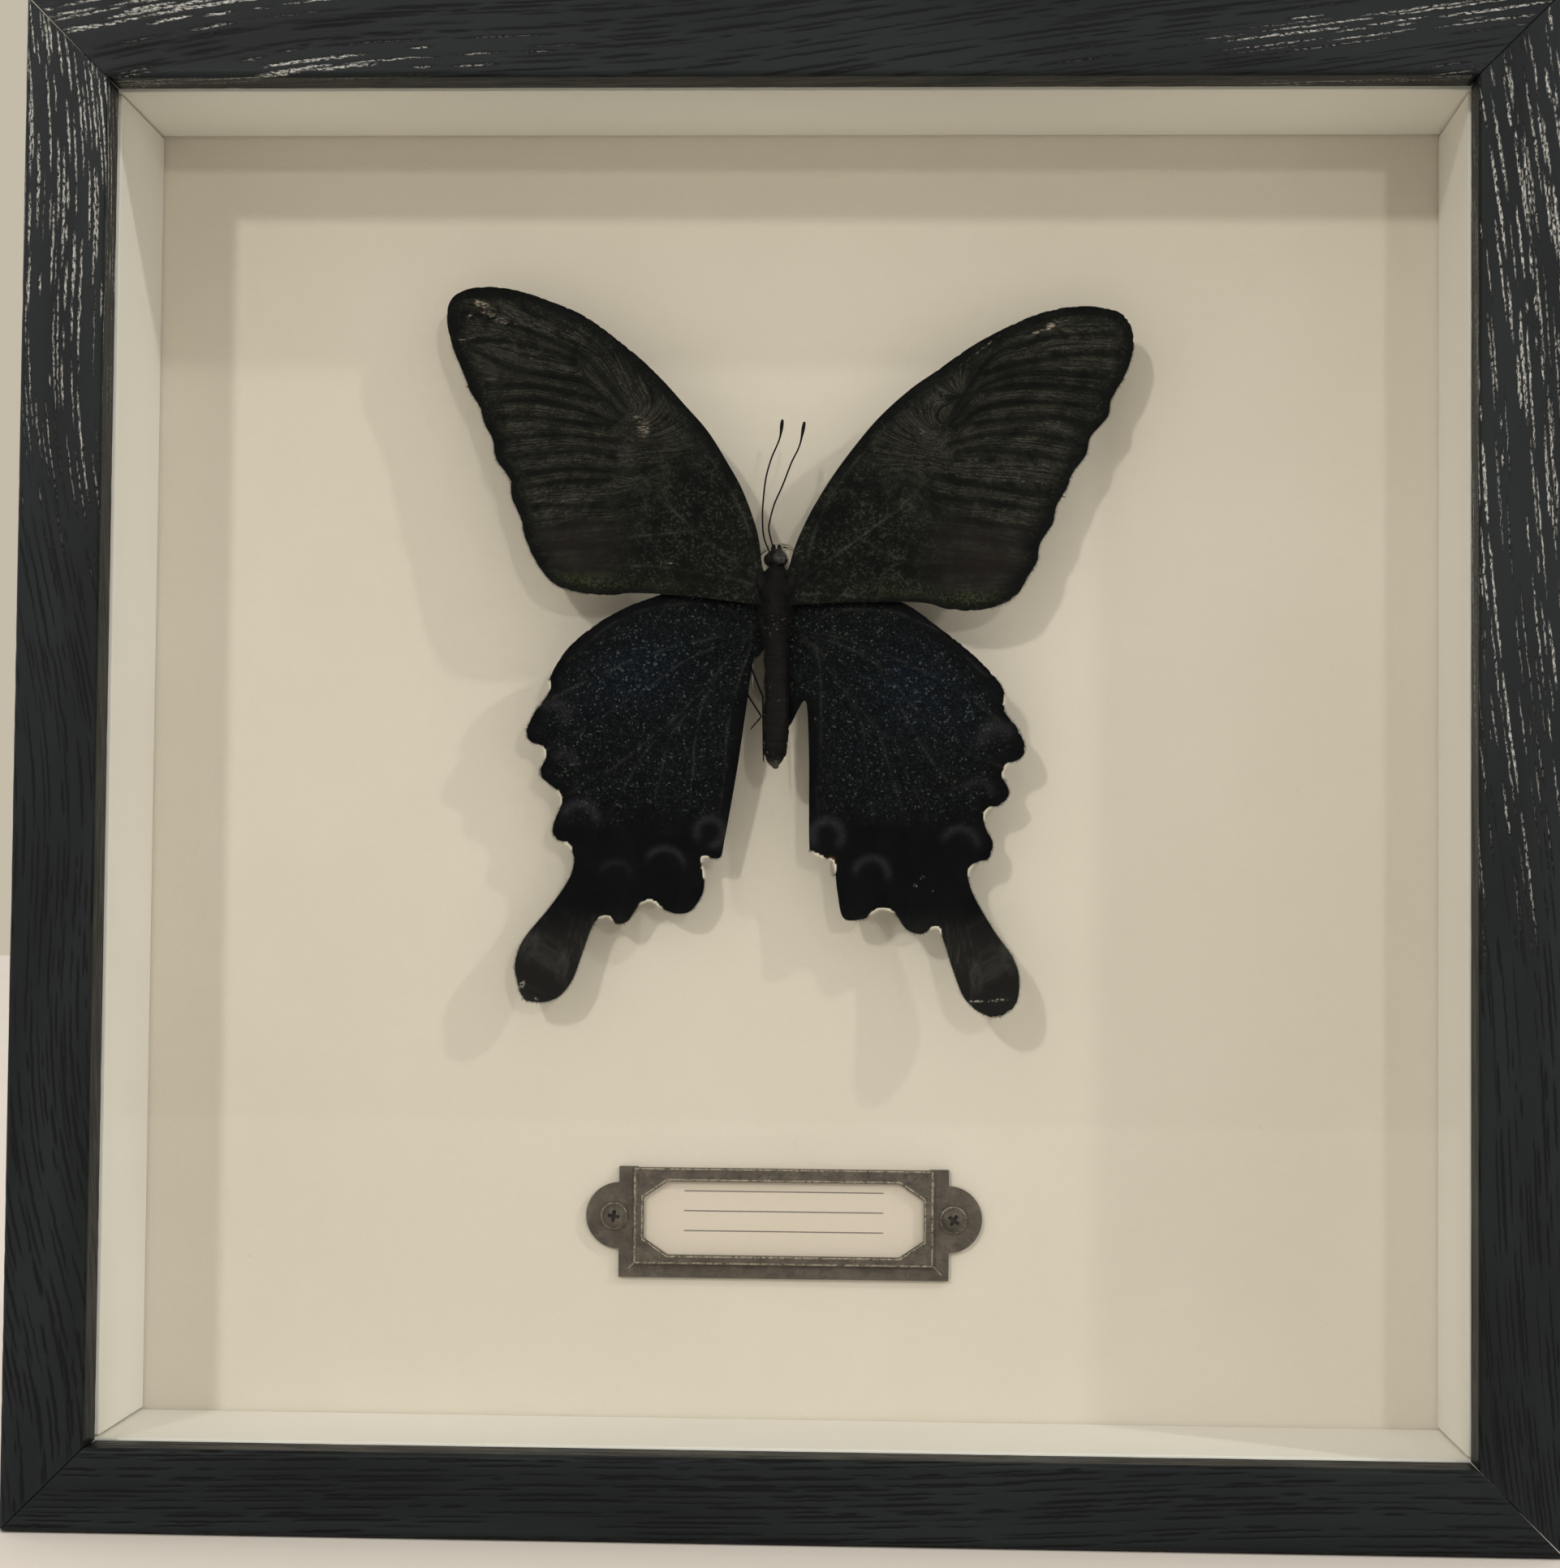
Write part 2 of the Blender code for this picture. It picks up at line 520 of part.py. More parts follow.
# Label holder, card and screws.
def holder_outline():
    """Round ears to left and right of a rectangle, as one loop."""
    half_w = HOLDER_PLATE[0] / 2
    half_h = HOLDER_PLATE[1] / 2
    points = [(-half_w, -half_h), (half_w, -half_h)]
    for step in range(ROUND_STEPS + 1):
        angle = -math.pi / 2 + math.pi * step / ROUND_STEPS
        points.append((half_w + EAR_RADIUS * math.cos(angle), EAR_Z + EAR_RADIUS * math.sin(angle)))
    points += [(half_w, half_h), (-half_w, half_h)]
    for step in range(ROUND_STEPS + 1):
        angle = math.pi / 2 + math.pi * step / ROUND_STEPS
        points.append((-half_w + EAR_RADIUS * math.cos(angle), EAR_Z + EAR_RADIUS * math.sin(angle)))
    return [(x + HOLDER_X, z + HOLDER_Z) for x, z in points]


def window_outline():
    """The window: a rectangle with its corners cut off."""
    half_w = WINDOW[0] / 2
    half_h = WINDOW[1] / 2
    cut_x, cut_z = WINDOW_CUT
    quarter = [(half_w, -half_h + cut_z), (half_w, half_h - cut_z), (half_w - cut_x, half_h)]
    quarter += [(-half_w + cut_x, half_h), (-half_w, half_h - cut_z), (-half_w, -half_h + cut_z)]
    quarter += [(-half_w + cut_x, -half_h), (half_w - cut_x, -half_h)]
    return [(x + HOLDER_X, z + HOLDER_Z + WINDOW_Z) for x, z in quarter]


def build_label():
    back = MAT_FRONT - GAP
    ear_front = back - HOLDER_THICK
    raised_front = ear_front - RAISED_HEIGHT
    holder = add_part(
        "label_holder", plate_mesh("ears", [holder_outline()], ear_front, HOLDER_THICK), BRONZE
    )
    raised_low = HOLDER_Z - HOLDER_PLATE[1] / 2 + RAISED_BOTTOM
    raised_high = HOLDER_Z + HOLDER_PLATE[1] / 2
    low = (HOLDER_X - RAISED_WIDTH / 2, raised_front, CENTRE_Z + raised_low)
    high = (HOLDER_X + RAISED_WIDTH / 2, back - HOLDER_THICK / 2, CENTRE_Z + raised_high)
    combine(holder, box_mesh("raised", low, high), "UNION")
    pocket_half = CARD[0] / 2 + CARD_PLAY
    pocket_low = raised_high - CARD[1] - CARD_PLAY
    pocket_front = raised_front + HOLDER_THICK
    low = (HOLDER_X - pocket_half, pocket_front, CENTRE_Z + pocket_low)
    high = (HOLDER_X + pocket_half, back + MAT, CENTRE_Z + raised_high + MAT)
    cut(holder, box_mesh("pocket", low, high))
    window = plate_mesh("window", [window_outline()], raised_front - MAT, HOLDER_THICK + 2 * MAT)
    cut(holder, window)
    card_low = CENTRE_Z + raised_high - CARD[1]
    card_front = pocket_front + GAP
    low = (HOLDER_X - CARD[0] / 2, card_front, card_low)
    high = (HOLDER_X + CARD[0] / 2, card_front + CARD[2], card_low + CARD[1])
    add_part("label_card", box_mesh("card", low, high), CARD_STOCK)
    for number, side, sign in ((1, "left", -1), (2, "right", 1)):
        x = HOLDER_X + sign * SCREW_AT
        z = CENTRE_Z + HOLDER_Z + EAR_Z
        cut(holder, rod_mesh(f"ear_hole_{number}", SCREW_SHANK + GAP, raised_front - MAT, back + MAT, x, z))
        build_screw(f"label_screw_{side}", x, ear_front - GAP, z)


def build_screw(name, x, y, z):
    """A small dome-headed screw with a cross recess, its head on the ear and its shank in the panel."""
    dome = [
        (SCREW_HEAD * math.sin(turn_by), SCREW_DOME * math.cos(turn_by))
        for turn_by in (step / DOME_STEPS * math.pi / 2 for step in range(DOME_STEPS + 1))
    ]
    tip = SCREW_LENGTH
    shank = [(SCREW_SHANK, 0.0), (SCREW_SHANK, -tip + SCREW_SHANK), (0.0, -tip)]
    profile = [(0.0, SCREW_DOME)] + dome[1:] + shank
    screw = add_part(name, turned_mesh(name, profile), BRONZE, (x, y, z))
    screw.rotation_euler = (math.pi / 2, 0, 0)
    turn(screw, SCREW_SIDES)
    long, thin, deep = CROSS
    for number, (wide, high) in enumerate(((long, thin), (thin, long))):
        low = (x - wide / 2, y - 2 * SCREW_DOME, z - high / 2)
        corner = (x + wide / 2, y - SCREW_DOME + deep, z + high / 2)
        cut(screw, box_mesh(f"slot_{number}", low, corner))


# The clear bar and the butterfly on it.
def build_bar():
    radius = BAR_WIDTH / 2
    points = []
    for start, middle in ((0.0, BAR_TOP_Z), (math.pi, BAR_LOW_Z)):
        for step in range(ROUND_STEPS + 1):
            angle = start + math.pi * step / ROUND_STEPS
            points.append((BAR_X + radius * math.cos(angle), middle + radius * math.sin(angle)))
    y_front = MAT_FRONT - BAR_HEIGHT
    add_part("specimen_bar", plate_mesh("bar", [points], y_front, BAR_HEIGHT - GAP), CLEAR_BAR)


def fore_height(x, z):
    """Height of a forewing off the mat: it falls away towards its tip."""
    run = FORE_RUN[0] * abs(x - BODY_X) + FORE_RUN[1] * (z - FORE_ROOT_Z)
    return FORE_ROOT_HEIGHT - FORE_FALL * run


def hind_height(x, z):
    """Height of a hindwing off the mat: it droops towards its hind edge and curls up along its tail."""
    side = 0 if x < BODY_X else 1
    fall = HIND_FALL[side] * min(max(HIND_ROOT_Z - z, 0.0), HIND_FALL_OVER)
    curl = min(max((HIND_CURL_Z - z) / HIND_CURL_OVER, 0.0), 1.0)
    return HIND_ROOT_HEIGHT - fall + HIND_CURL[side] * curl**2


def build_wing(name, outline, height_at, material):
    outline_m = [(x * MM, z * MM) for x, z in outline]
    mesh = curve_to_mesh(flat_curve(name, [outline_m], WING_THICK * MM, smooth=True), name)
    for vertex in mesh.vertices:
        vertex.co.z += height_at(vertex.co.x / MM, vertex.co.y / MM) * MM
    mesh.transform(Matrix.Translation((0, MAT_FRONT, CENTRE_Z)) @ Matrix.Rotation(math.pi / 2, 4, "X"))
    add_part(name, mesh, material)


def build_butterfly():
    profile = [(r * MM, z * MM) for r, z in BODY_PROFILE]
    place = (BODY_X * MM, MAT_FRONT - BODY_HEIGHT * MM, CENTRE_Z)
    body = add_part("butterfly_body", turned_mesh("body", profile), DARK_BODY, place)
    body.scale = (1.0, BODY_DEPTH_SHARE, 1.0)
    turn(body, BODY_SIDES)
    build_wing("forewing_left", FOREWING_LEFT, fore_height, FORE_BLACK)
    build_wing("forewing_right", FOREWING_RIGHT, fore_height, FORE_BLACK)
    build_wing("hindwing_left", HINDWING_LEFT, hind_height, HIND_BLACK)
    build_wing("hindwing_right", HINDWING_RIGHT, hind_height, HIND_BLACK)
    wire("antenna_left", ANTENNA_LEFT, ANTENNA_RADIUS, DARK_BODY, CLUB_SHARE)
    wire("antenna_right", ANTENNA_RIGHT, ANTENNA_RADIUS, DARK_BODY, CLUB_SHARE)
    for name, points in LEGS.items():
        wire(name, points, LEG_RADIUS, DARK_BODY)


build_rails_and_tabs()
build_sheets()
build_spacers()
build_hanger()
build_label()
build_bar()
build_butterfly()
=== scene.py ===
# %% [markdown]
# # A framed swallowtail, built round its fixed frame
#
# The real object is a deep black box frame with a pale mat, a small bronze label holder and a dried
# swallowtail that stands on a clear bar behind glass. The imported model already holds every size, so this
# lesson only makes looks: each piece is modelled in the place its CAD solid gives, then painted with nodes.
# All lengths are metres in Blender. Places on the specimen are written in millimetres from the middle of
# the frame's opening, as (x, z), with heights measured off the mat.

# %% Load the fixed frame
import math

import bpy
import numpy as np
from mathutils import Matrix, Vector


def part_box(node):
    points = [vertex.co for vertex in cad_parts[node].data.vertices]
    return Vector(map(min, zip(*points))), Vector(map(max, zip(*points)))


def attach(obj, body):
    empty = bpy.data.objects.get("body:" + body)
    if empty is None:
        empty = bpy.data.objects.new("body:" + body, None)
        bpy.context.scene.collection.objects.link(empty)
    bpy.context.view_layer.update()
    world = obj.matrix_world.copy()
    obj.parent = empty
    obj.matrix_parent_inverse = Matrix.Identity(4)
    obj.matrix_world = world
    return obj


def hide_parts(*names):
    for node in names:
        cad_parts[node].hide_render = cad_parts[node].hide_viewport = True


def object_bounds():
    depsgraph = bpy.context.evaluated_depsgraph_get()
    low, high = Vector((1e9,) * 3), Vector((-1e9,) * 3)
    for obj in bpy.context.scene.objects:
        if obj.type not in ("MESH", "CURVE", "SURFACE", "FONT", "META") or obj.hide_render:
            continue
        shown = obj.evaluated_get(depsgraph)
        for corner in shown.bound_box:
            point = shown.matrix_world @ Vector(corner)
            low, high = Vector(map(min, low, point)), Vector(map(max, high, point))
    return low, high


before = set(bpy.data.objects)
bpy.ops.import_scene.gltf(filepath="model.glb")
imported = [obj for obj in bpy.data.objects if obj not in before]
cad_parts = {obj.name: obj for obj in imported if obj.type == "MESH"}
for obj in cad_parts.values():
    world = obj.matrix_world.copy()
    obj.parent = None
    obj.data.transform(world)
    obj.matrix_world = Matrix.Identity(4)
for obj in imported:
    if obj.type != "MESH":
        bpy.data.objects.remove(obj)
CAD_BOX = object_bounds()
MM = 0.001
CENTRE_Z = (CAD_BOX[0].z + CAD_BOX[1].z) / 2
MAT_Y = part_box("mat_board")[0].y
print("frame", [round(side / MM, 1) for side in CAD_BOX[1] - CAD_BOX[0]], "mm, mat front at", round(MAT_Y / MM, 2))

# %% [markdown]
# Blender's operators act on whatever is selected, and the loaded frame arrives selected. Every helper here
# therefore deselects all first. A finished piece keeps its object at the origin with its place in its mesh,
# so patterns that read Object coordinates stay put when the model is exported.

# %% Selection, modifiers and vertex moves
def select_only(*pieces):
    bpy.ops.object.select_all(action="DESELECT")
    for piece in pieces:
        piece.select_set(True)
    bpy.context.view_layer.objects.active = pieces[0]


def settle(name):
    """Name the new active object and move its place, turn and scale into its mesh."""
    piece = bpy.context.active_object
    piece.name = name
    piece.data.name = name
    select_only(piece)
    bpy.ops.object.transform_apply(location=True, rotation=True, scale=True)
    return piece


def apply_modifier(piece, kind, **settings):
    select_only(piece)
    modifier = piece.modifiers.new(kind.lower(), kind)
    for key, value in settings.items():
        setattr(modifier, key, value)
    bpy.ops.object.modifier_apply(modifier=modifier.name)
    return piece


def points_of(piece):
    flat = np.empty(len(piece.data.vertices) * 3)
    piece.data.vertices.foreach_get("co", flat)
    return flat.reshape(-1, 3)


def move_points(piece, points):
    piece.data.vertices.foreach_set("co", np.ascontiguousarray(points, float).ravel())
    piece.data.update()


def in_edit_mode(piece, *steps):
    """Run edit-mode operators, given as (operator, settings), on one piece."""
    select_only(piece)
    bpy.ops.object.mode_set(mode="EDIT")
    for operator, settings in steps:
        operator(**settings)
    bpy.ops.object.mode_set(mode="OBJECT")


def pick_faces(piece, chosen):
    """Leave exactly these faces selected, for the next edit-mode step."""
    mesh = piece.data
    mesh.vertices.foreach_set("select", np.zeros(len(mesh.vertices), bool))
    mesh.edges.foreach_set("select", np.zeros(len(mesh.edges), bool))
    mesh.polygons.foreach_set("select", np.asarray(chosen, bool))
    select_only(piece)
    bpy.context.tool_settings.mesh_select_mode = (False, False, True)


def weld(piece, distance=1e-6):
    in_edit_mode(
        piece,
        (bpy.ops.mesh.select_all, {"action": "SELECT"}),
        (bpy.ops.mesh.remove_doubles, {"threshold": distance}),
        (bpy.ops.mesh.normals_make_consistent, {"inside": False}),
    )
    return piece


def face_outwards(piece):
    in_edit_mode(
        piece,
        (bpy.ops.mesh.select_all, {"action": "SELECT"}),
        (bpy.ops.mesh.normals_make_consistent, {"inside": False}),
    )


def number_points(piece, name, values):
    """Store one number on every vertex, for the material to read."""
    field = piece.data.attributes.new(name, "FLOAT", "POINT")
    field.data.foreach_set("value", np.broadcast_to(np.float32(values), len(piece.data.vertices)).copy())
    return piece


def map_points(piece, name, spread):
    """Give the piece one UV map, from a pair of numbers for every vertex."""
    layers = piece.data.uv_layers
    while layers:
        layers.remove(layers[0])
    corner = np.empty(len(piece.data.loops), int)
    piece.data.loops.foreach_get("vertex_index", corner)
    layers.new(name=name).data.foreach_set("uv", spread[corner].astype(np.float32).ravel())


def join(*pieces):
    """Make one piece of several; the first keeps its name."""
    select_only(*pieces)
    bpy.ops.object.join()
    return bpy.context.active_object


def finish_piece(piece, material, slot, *nodes, angle=35, soft=False):
    """Paint a piece, smooth it, ride it on the frame, and hide the CAD nodes it stands for."""
    piece.data.materials.clear()
    piece.data.materials.append(material)
    select_only(piece)
    bpy.ops.object.shade_smooth_by_angle(angle=math.radians(angle))
    if not soft:
        apply_modifier(piece, "WEIGHTED_NORMAL", keep_sharp=True)
    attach(piece, "root")
    if nodes:
        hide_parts(*nodes)
    print(f"{piece.name}: {len(piece.data.polygons)} faces")
    return piece


# %% [markdown]
# Materials are node trees. Writing them as sums and products reads better than wiring boxes, so one small
# class wraps a socket: `+`, `-`, `*` and friends add a Math node, and `node` adds anything else, with its
# settings first and its sockets' values or links after. Colours are mixed by Mix nodes only.

# %% Shader expressions
def tone(red, green, blue):
    """A colour given as 0-255 screen values, in Blender's linear numbers."""
    linear = [(c / 255 / 12.92) if c < 10.3 else ((c / 255 + 0.055) / 1.055) ** 2.4 for c in (red, green, blue)]
    return (*linear, 1.0)


class Paint:
    """A socket of a material's tree. Arithmetic on it adds Math nodes."""

    def __init__(self, tree, socket=None):
        self.tree = tree
        self.socket = socket

    def fill(self, node, inputs):
        for key, value in inputs.items():
            if isinstance(value, Paint):
                self.tree.links.new(value.socket, node.inputs[key])
            else:
                node.inputs[key].default_value = value

    def node(self, kind, settings=None, inputs=None, output=0):
        made = self.tree.nodes.new(kind)
        for key, value in (settings or {}).items():
            setattr(made, key, value)
        self.fill(made, inputs or {})
        return Paint(self.tree, made.outputs[output])

    def math(self, operation, *values):
        return self.node("ShaderNodeMath", {"operation": operation}, dict(enumerate(values)))

    def __add__(self, other):
        return self.math("ADD", self, other)

    def __sub__(self, other):
        return self.math("SUBTRACT", self, other)

    def __mul__(self, other):
        return self.math("MULTIPLY", self, other)

    def __rsub__(self, other):
        return self.math("SUBTRACT", other, self)

    __radd__ = __add__
    __rmul__ = __mul__

    def most(self, other):
        return self.math("MAXIMUM", self, other)

    def step(self, low, high, to_low=0.0, to_high=1.0):
        """A smooth step: to_low below low, to_high above high."""
        inputs = {0: self, 1: low, 2: high, 3: to_low, 4: to_high}
        return self.node("ShaderNodeMapRange", {"interpolation_type": "SMOOTHSTEP"}, inputs)

    def mix(self, low, high):
        """Colour low where this is 0 and colour high where it is 1."""
        return self.node("ShaderNodeMix", {"data_type": "RGBA"}, {0: self, 6: low, 7: high}, 2)

    def place(self):
        """Object coordinates in millimetres."""
        spot = self.node("ShaderNodeTexCoord", output=3)
        return self.node("ShaderNodeVectorMath", {"operation": "SCALE"}, {0: spot, 3: 1 / MM})

    def axis(self, index):
        return self.node("ShaderNodeSeparateXYZ", {}, {0: self}, index)

    def stretched(self, scale):
        return self.node("ShaderNodeVectorMath", {"operation": "MULTIPLY"}, {0: self, 1: scale})

    def noise(self, scale, detail=2.0, roughness=0.5):
        inputs = {"Vector": self, "Scale": scale, "Detail": detail, "Roughness": roughness}
        return self.node("ShaderNodeTexNoise", {}, inputs)

    def cells(self, scale, output=0):
        return self.node("ShaderNodeTexVoronoi", {}, {"Vector": self, "Scale": scale}, output)

    def attribute(self, name):
        return self.node("ShaderNodeAttribute", {"attribute_name": name}, output=2)

    def flow(self, name):
        return self.node("ShaderNodeUVMap", {"uv_map": name})

    def bump(self, height_mm, distance_mm):
        inputs = {"Height": height_mm, "Strength": 1.0, "Distance": distance_mm * MM}
        return self.node("ShaderNodeBump", {}, inputs)


def new_material(name):
    """A material, a Paint on its tree, and its Principled shader."""
    material = bpy.data.materials.new(name)
    material.use_nodes = True
    return material, Paint(material.node_tree), material.node_tree.nodes["Principled BSDF"]


# %% [markdown]
# The finish of the frame is a black stain over an open-pored wood such as ash or oak: the stain is even, and
# the pores stay as long dashes. Their shape is pressed into the mesh further down, which leaves two numbers
# on each vertex, `pore` for depth and `glint` for the stretches where the pores are painted pale: a painted
# highlight that stands in for lamp light glinting off the pore walls. The material reads both, and breaks the
# painted glints up with fine noise that runs along the grain.

# %% Black stained wood
BLACK_WOOD, wood, shader = new_material("black_stained_wood")
grain = wood.flow("grain")
fine = grain.stretched((0.5, 4.0, 1.0)).noise(1.6, 3.0, 0.6)
crumbs = grain.stretched((0.8, 2.1, 1.0)).noise(1.6, 4.0, 0.8)
drift = grain.stretched((0.02, 0.1, 1.0)).noise(1.0, 2.0)
pore = wood.attribute("pore")
# Painted highlight: the pale dashes in the pores stand in for lamp light glinting off the pore walls.
painted_glint = (pore * wood.attribute("glint") * crumbs.step(0.43, 0.53)).step(0.10, 0.45)
stain = drift.step(0.3, 0.7).mix(tone(20, 24, 26), tone(29, 34, 36))
stain = pore.step(0.06, 0.5, 0.0, 0.9).mix(stain, tone(8, 10, 11))
stain = (painted_glint * (0.45 + crumbs.step(0.45, 0.7) * 0.55)).mix(stain, tone(196, 198, 192))
wood.fill(shader, {
    "Base Color": stain,
    "Roughness": 0.36 + fine * 0.16 + pore * 0.15,
    "Normal": wood.bump(fine * 0.5 + crumbs * pore * 0.8, 0.05),
    "Specular IOR Level": 0.12,
})

# %% [markdown]
# Each rail is one length of moulding: a 12 mm face with eased edges, a lip in front of a rabbet, and a mitre
# at each end. A bevelled cube could give that section, but then the pores could only be a bump in the
# material, which vanishes from the side. Here a flat grid is wrapped round the section instead, like paper
# round a stick, close enough together on the face for every dash of open pore to be pressed in.

# %% The moulding's section
RAIL_LENGTH = CAD_BOX[1].x - CAD_BOX[0].x
RAIL_DEPTH = CAD_BOX[1].y - CAD_BOX[0].y
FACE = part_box("frame_rail_bottom")[1].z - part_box("frame_rail_bottom")[0].z
GLASS_PLAY = 0.3 * MM
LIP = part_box("glass_pane")[0].y - CAD_BOX[0].y - GLASS_PLAY
WALL = 6 * MM
BACK_ARRIS = 0.5 * MM
FRONT_ARRIS = 1.0 * MM
LIP_ARRIS = 0.8 * MM
MITRE_GAP = 0.1 * MM
FACE_STEP = 0.115 * MM
SIDE_STEP = 0.3 * MM
PLAIN_STEP = 1.5 * MM


def arc(centre, radius, start, stop, steps):
    turns = np.radians(np.linspace(start, stop, steps))
    return [(centre[0] + radius * math.cos(t), centre[1] + radius * math.sin(t)) for t in turns]


def section():
    """Points round the rail, as (in from the outer side, back from the front), from the rabbet outwards."""
    corners = [(WALL, LIP), (WALL, RAIL_DEPTH)]
    corners += arc((BACK_ARRIS, RAIL_DEPTH - BACK_ARRIS), BACK_ARRIS, 90, 180, 6)
    corners += arc((FRONT_ARRIS, FRONT_ARRIS), FRONT_ARRIS, 180, 270, 12)
    corners += arc((FACE - LIP_ARRIS, LIP_ARRIS), LIP_ARRIS, -90, 0, 12)
    corners += [(FACE, LIP), (WALL, LIP)]
    points = []
    for start, stop in zip(corners[:-1], corners[1:]):
        start, stop = np.array(start), np.array(stop)
        run = np.linalg.norm(stop - start)
        on_face = max(start[1], stop[1]) < SIDE_STEP
        on_side = max(start[0], stop[0]) < SIDE_STEP or min(start[0], stop[0]) > FACE - SIDE_STEP
        count = max(1, round(run / (FACE_STEP if on_face else SIDE_STEP if on_side else PLAIN_STEP)))
        points += [start + (stop - start) * k / count for k in range(count)]
    return np.array(points + [np.array(corners[-1])])


SECTION = section()
SECTION_AT = np.append(0, np.cumsum(np.linalg.norm(np.diff(SECTION, axis=0), axis=1)))
SECTION_OUT = np.gradient(SECTION, axis=0)[:, ::-1] * (1, -1)
SECTION_OUT /= np.linalg.norm(SECTION_OUT, axis=1)[:, None]
print("section", len(SECTION), "points,", round(SECTION_AT[-1] / MM), "mm round")

# %% [markdown]
# The grain of one rail is a stack of wandering lines a little under a millimetre apart. Each line is broken
# into dashes, and each dash is pressed in with a soft cross-section. Where the saw cut across a growth ring
# the lines slant or arch, so every rail gets its own slant and waves, and the painted glint sits in bands
# along them.

# %% Pores pressed into a rail
ALONG_STEPS = 205
LINE_PITCH = 0.74 * MM
LINES_BEYOND = 20
PORE_DEPTH = 0.11 * MM


def press_pores(seed, slant, glint_along, ring):
    """Depth and painted glint over one rail's grid, as two arrays of (along, round)."""
    draw = np.random.default_rng(seed)
    along = np.linspace(-RAIL_LENGTH / 2, RAIL_LENGTH / 2, ALONG_STEPS + 1)
    depth = np.zeros((len(along), len(SECTION_AT)))
    waves = [(draw.uniform(0.3, 1.1) * MM, draw.uniform(0.02, 0.075) / MM, draw.uniform(0, 6)) for _ in range(3)]
    first = np.searchsorted(SECTION_AT, RAIL_DEPTH - LIP + WALL)
    line = SECTION_AT[first] - LINES_BEYOND * LINE_PITCH
    while line < SECTION_AT[-1] + LINES_BEYOND * LINE_PITCH:
        line += LINE_PITCH * draw.uniform(0.55, 1.5)
        at = along[0] - draw.uniform(0, 6) * MM
        while at < along[-1]:
            length = draw.uniform(3, 22) * MM
            width = draw.uniform(0.13, 0.24) * MM
            strength = draw.uniform(0.4, 1.0)
            shift = draw.normal(0, 0.12) * MM
            lo, hi = np.searchsorted(along, (at, at + length))
            at += length + draw.uniform(0.2, 2.5) * MM
            crowd = 0.75 + 0.25 * math.sin(line / MM * 1.9 + seed)
            if hi - lo < 2 or strength * crowd < draw.uniform(0.1, 0.6):
                continue
            run = along[lo:hi]
            middle = line + shift + slant * run + draw.normal(0, 0.045, hi - lo) * MM
            middle += sum(size * np.sin(run * rate + turn) for size, rate, turn in waves)
            ends = np.sin(np.linspace(0.15, math.pi - 0.15, hi - lo)) ** 0.5
            left, right = np.searchsorted(SECTION_AT, (middle.min() - 3 * width, middle.max() + 3 * width))
            away = np.abs(SECTION_AT[None, left:right] - middle[:, None]) / width
            dent = strength * ends[:, None] * np.exp(-away ** 2)
            depth[lo:hi, left:right] = np.maximum(depth[lo:hi, left:right], dent)
    depth[:, :first] = 0
    # Painted highlight: how pale the pores are painted, along the rail and in bands across it, as a glint of lamp
    # light.
    pale = np.interp(along / MM, glint_along[0], glint_along[1])[:, None] * np.ones(len(SECTION_AT))
    centre, period, share = ring
    across = (SECTION_AT[None, :] - SECTION_AT[-1] + LIP + FACE - slant * along[:, None]) / MM - centre
    pale *= 1 - share * (0.5 - 0.5 * np.cos(across / period * math.tau))
    return along, depth, pale


# %% [markdown]
# Four rails go round the opening: bottom, right, top and left are the same moulding turned a quarter each
# time. The painted glint in the pores lies in different places on each, standing in for where lamp light
# would catch the rail. The list gives the quarter turns, the seed, the slant of the grain, then places along
# the rail with the painted glint's strength at each, and last the bands across it: where one lies, how far
# the next one is, and how much they matter. All places are in millimetres.

# %% Four mitred rails
RAILS = {
    "bottom": (0, 11, 0.02, ([-110, -60, 40, 110], [0.15, 0.05, 0.04, 0.10]), (0, 9, 0.5)),
    "right": (3, 23, 0.09, ([-110, -40, 5, 95, 110], [0.0, 0.05, 0.85, 1.0, 0.6]), (1.5, 7, 0.55)),
    "top": (
        2, 37, 0.11,
        ([-110, -82, -60, -10, 25, 55, 75, 110], [0.6, 0.75, 0.25, 0.1, 0.15, 0.5, 0.95, 1.0]),
        (-2.5, 11, 1.0),
    ),
    "left": (1, 41, 0.10, ([-110, -98, -70, -42, -20, 110], [1.0, 1.0, 0.8, 0.4, 0.06, 0.02]), (0, 9, 0.2)),
}


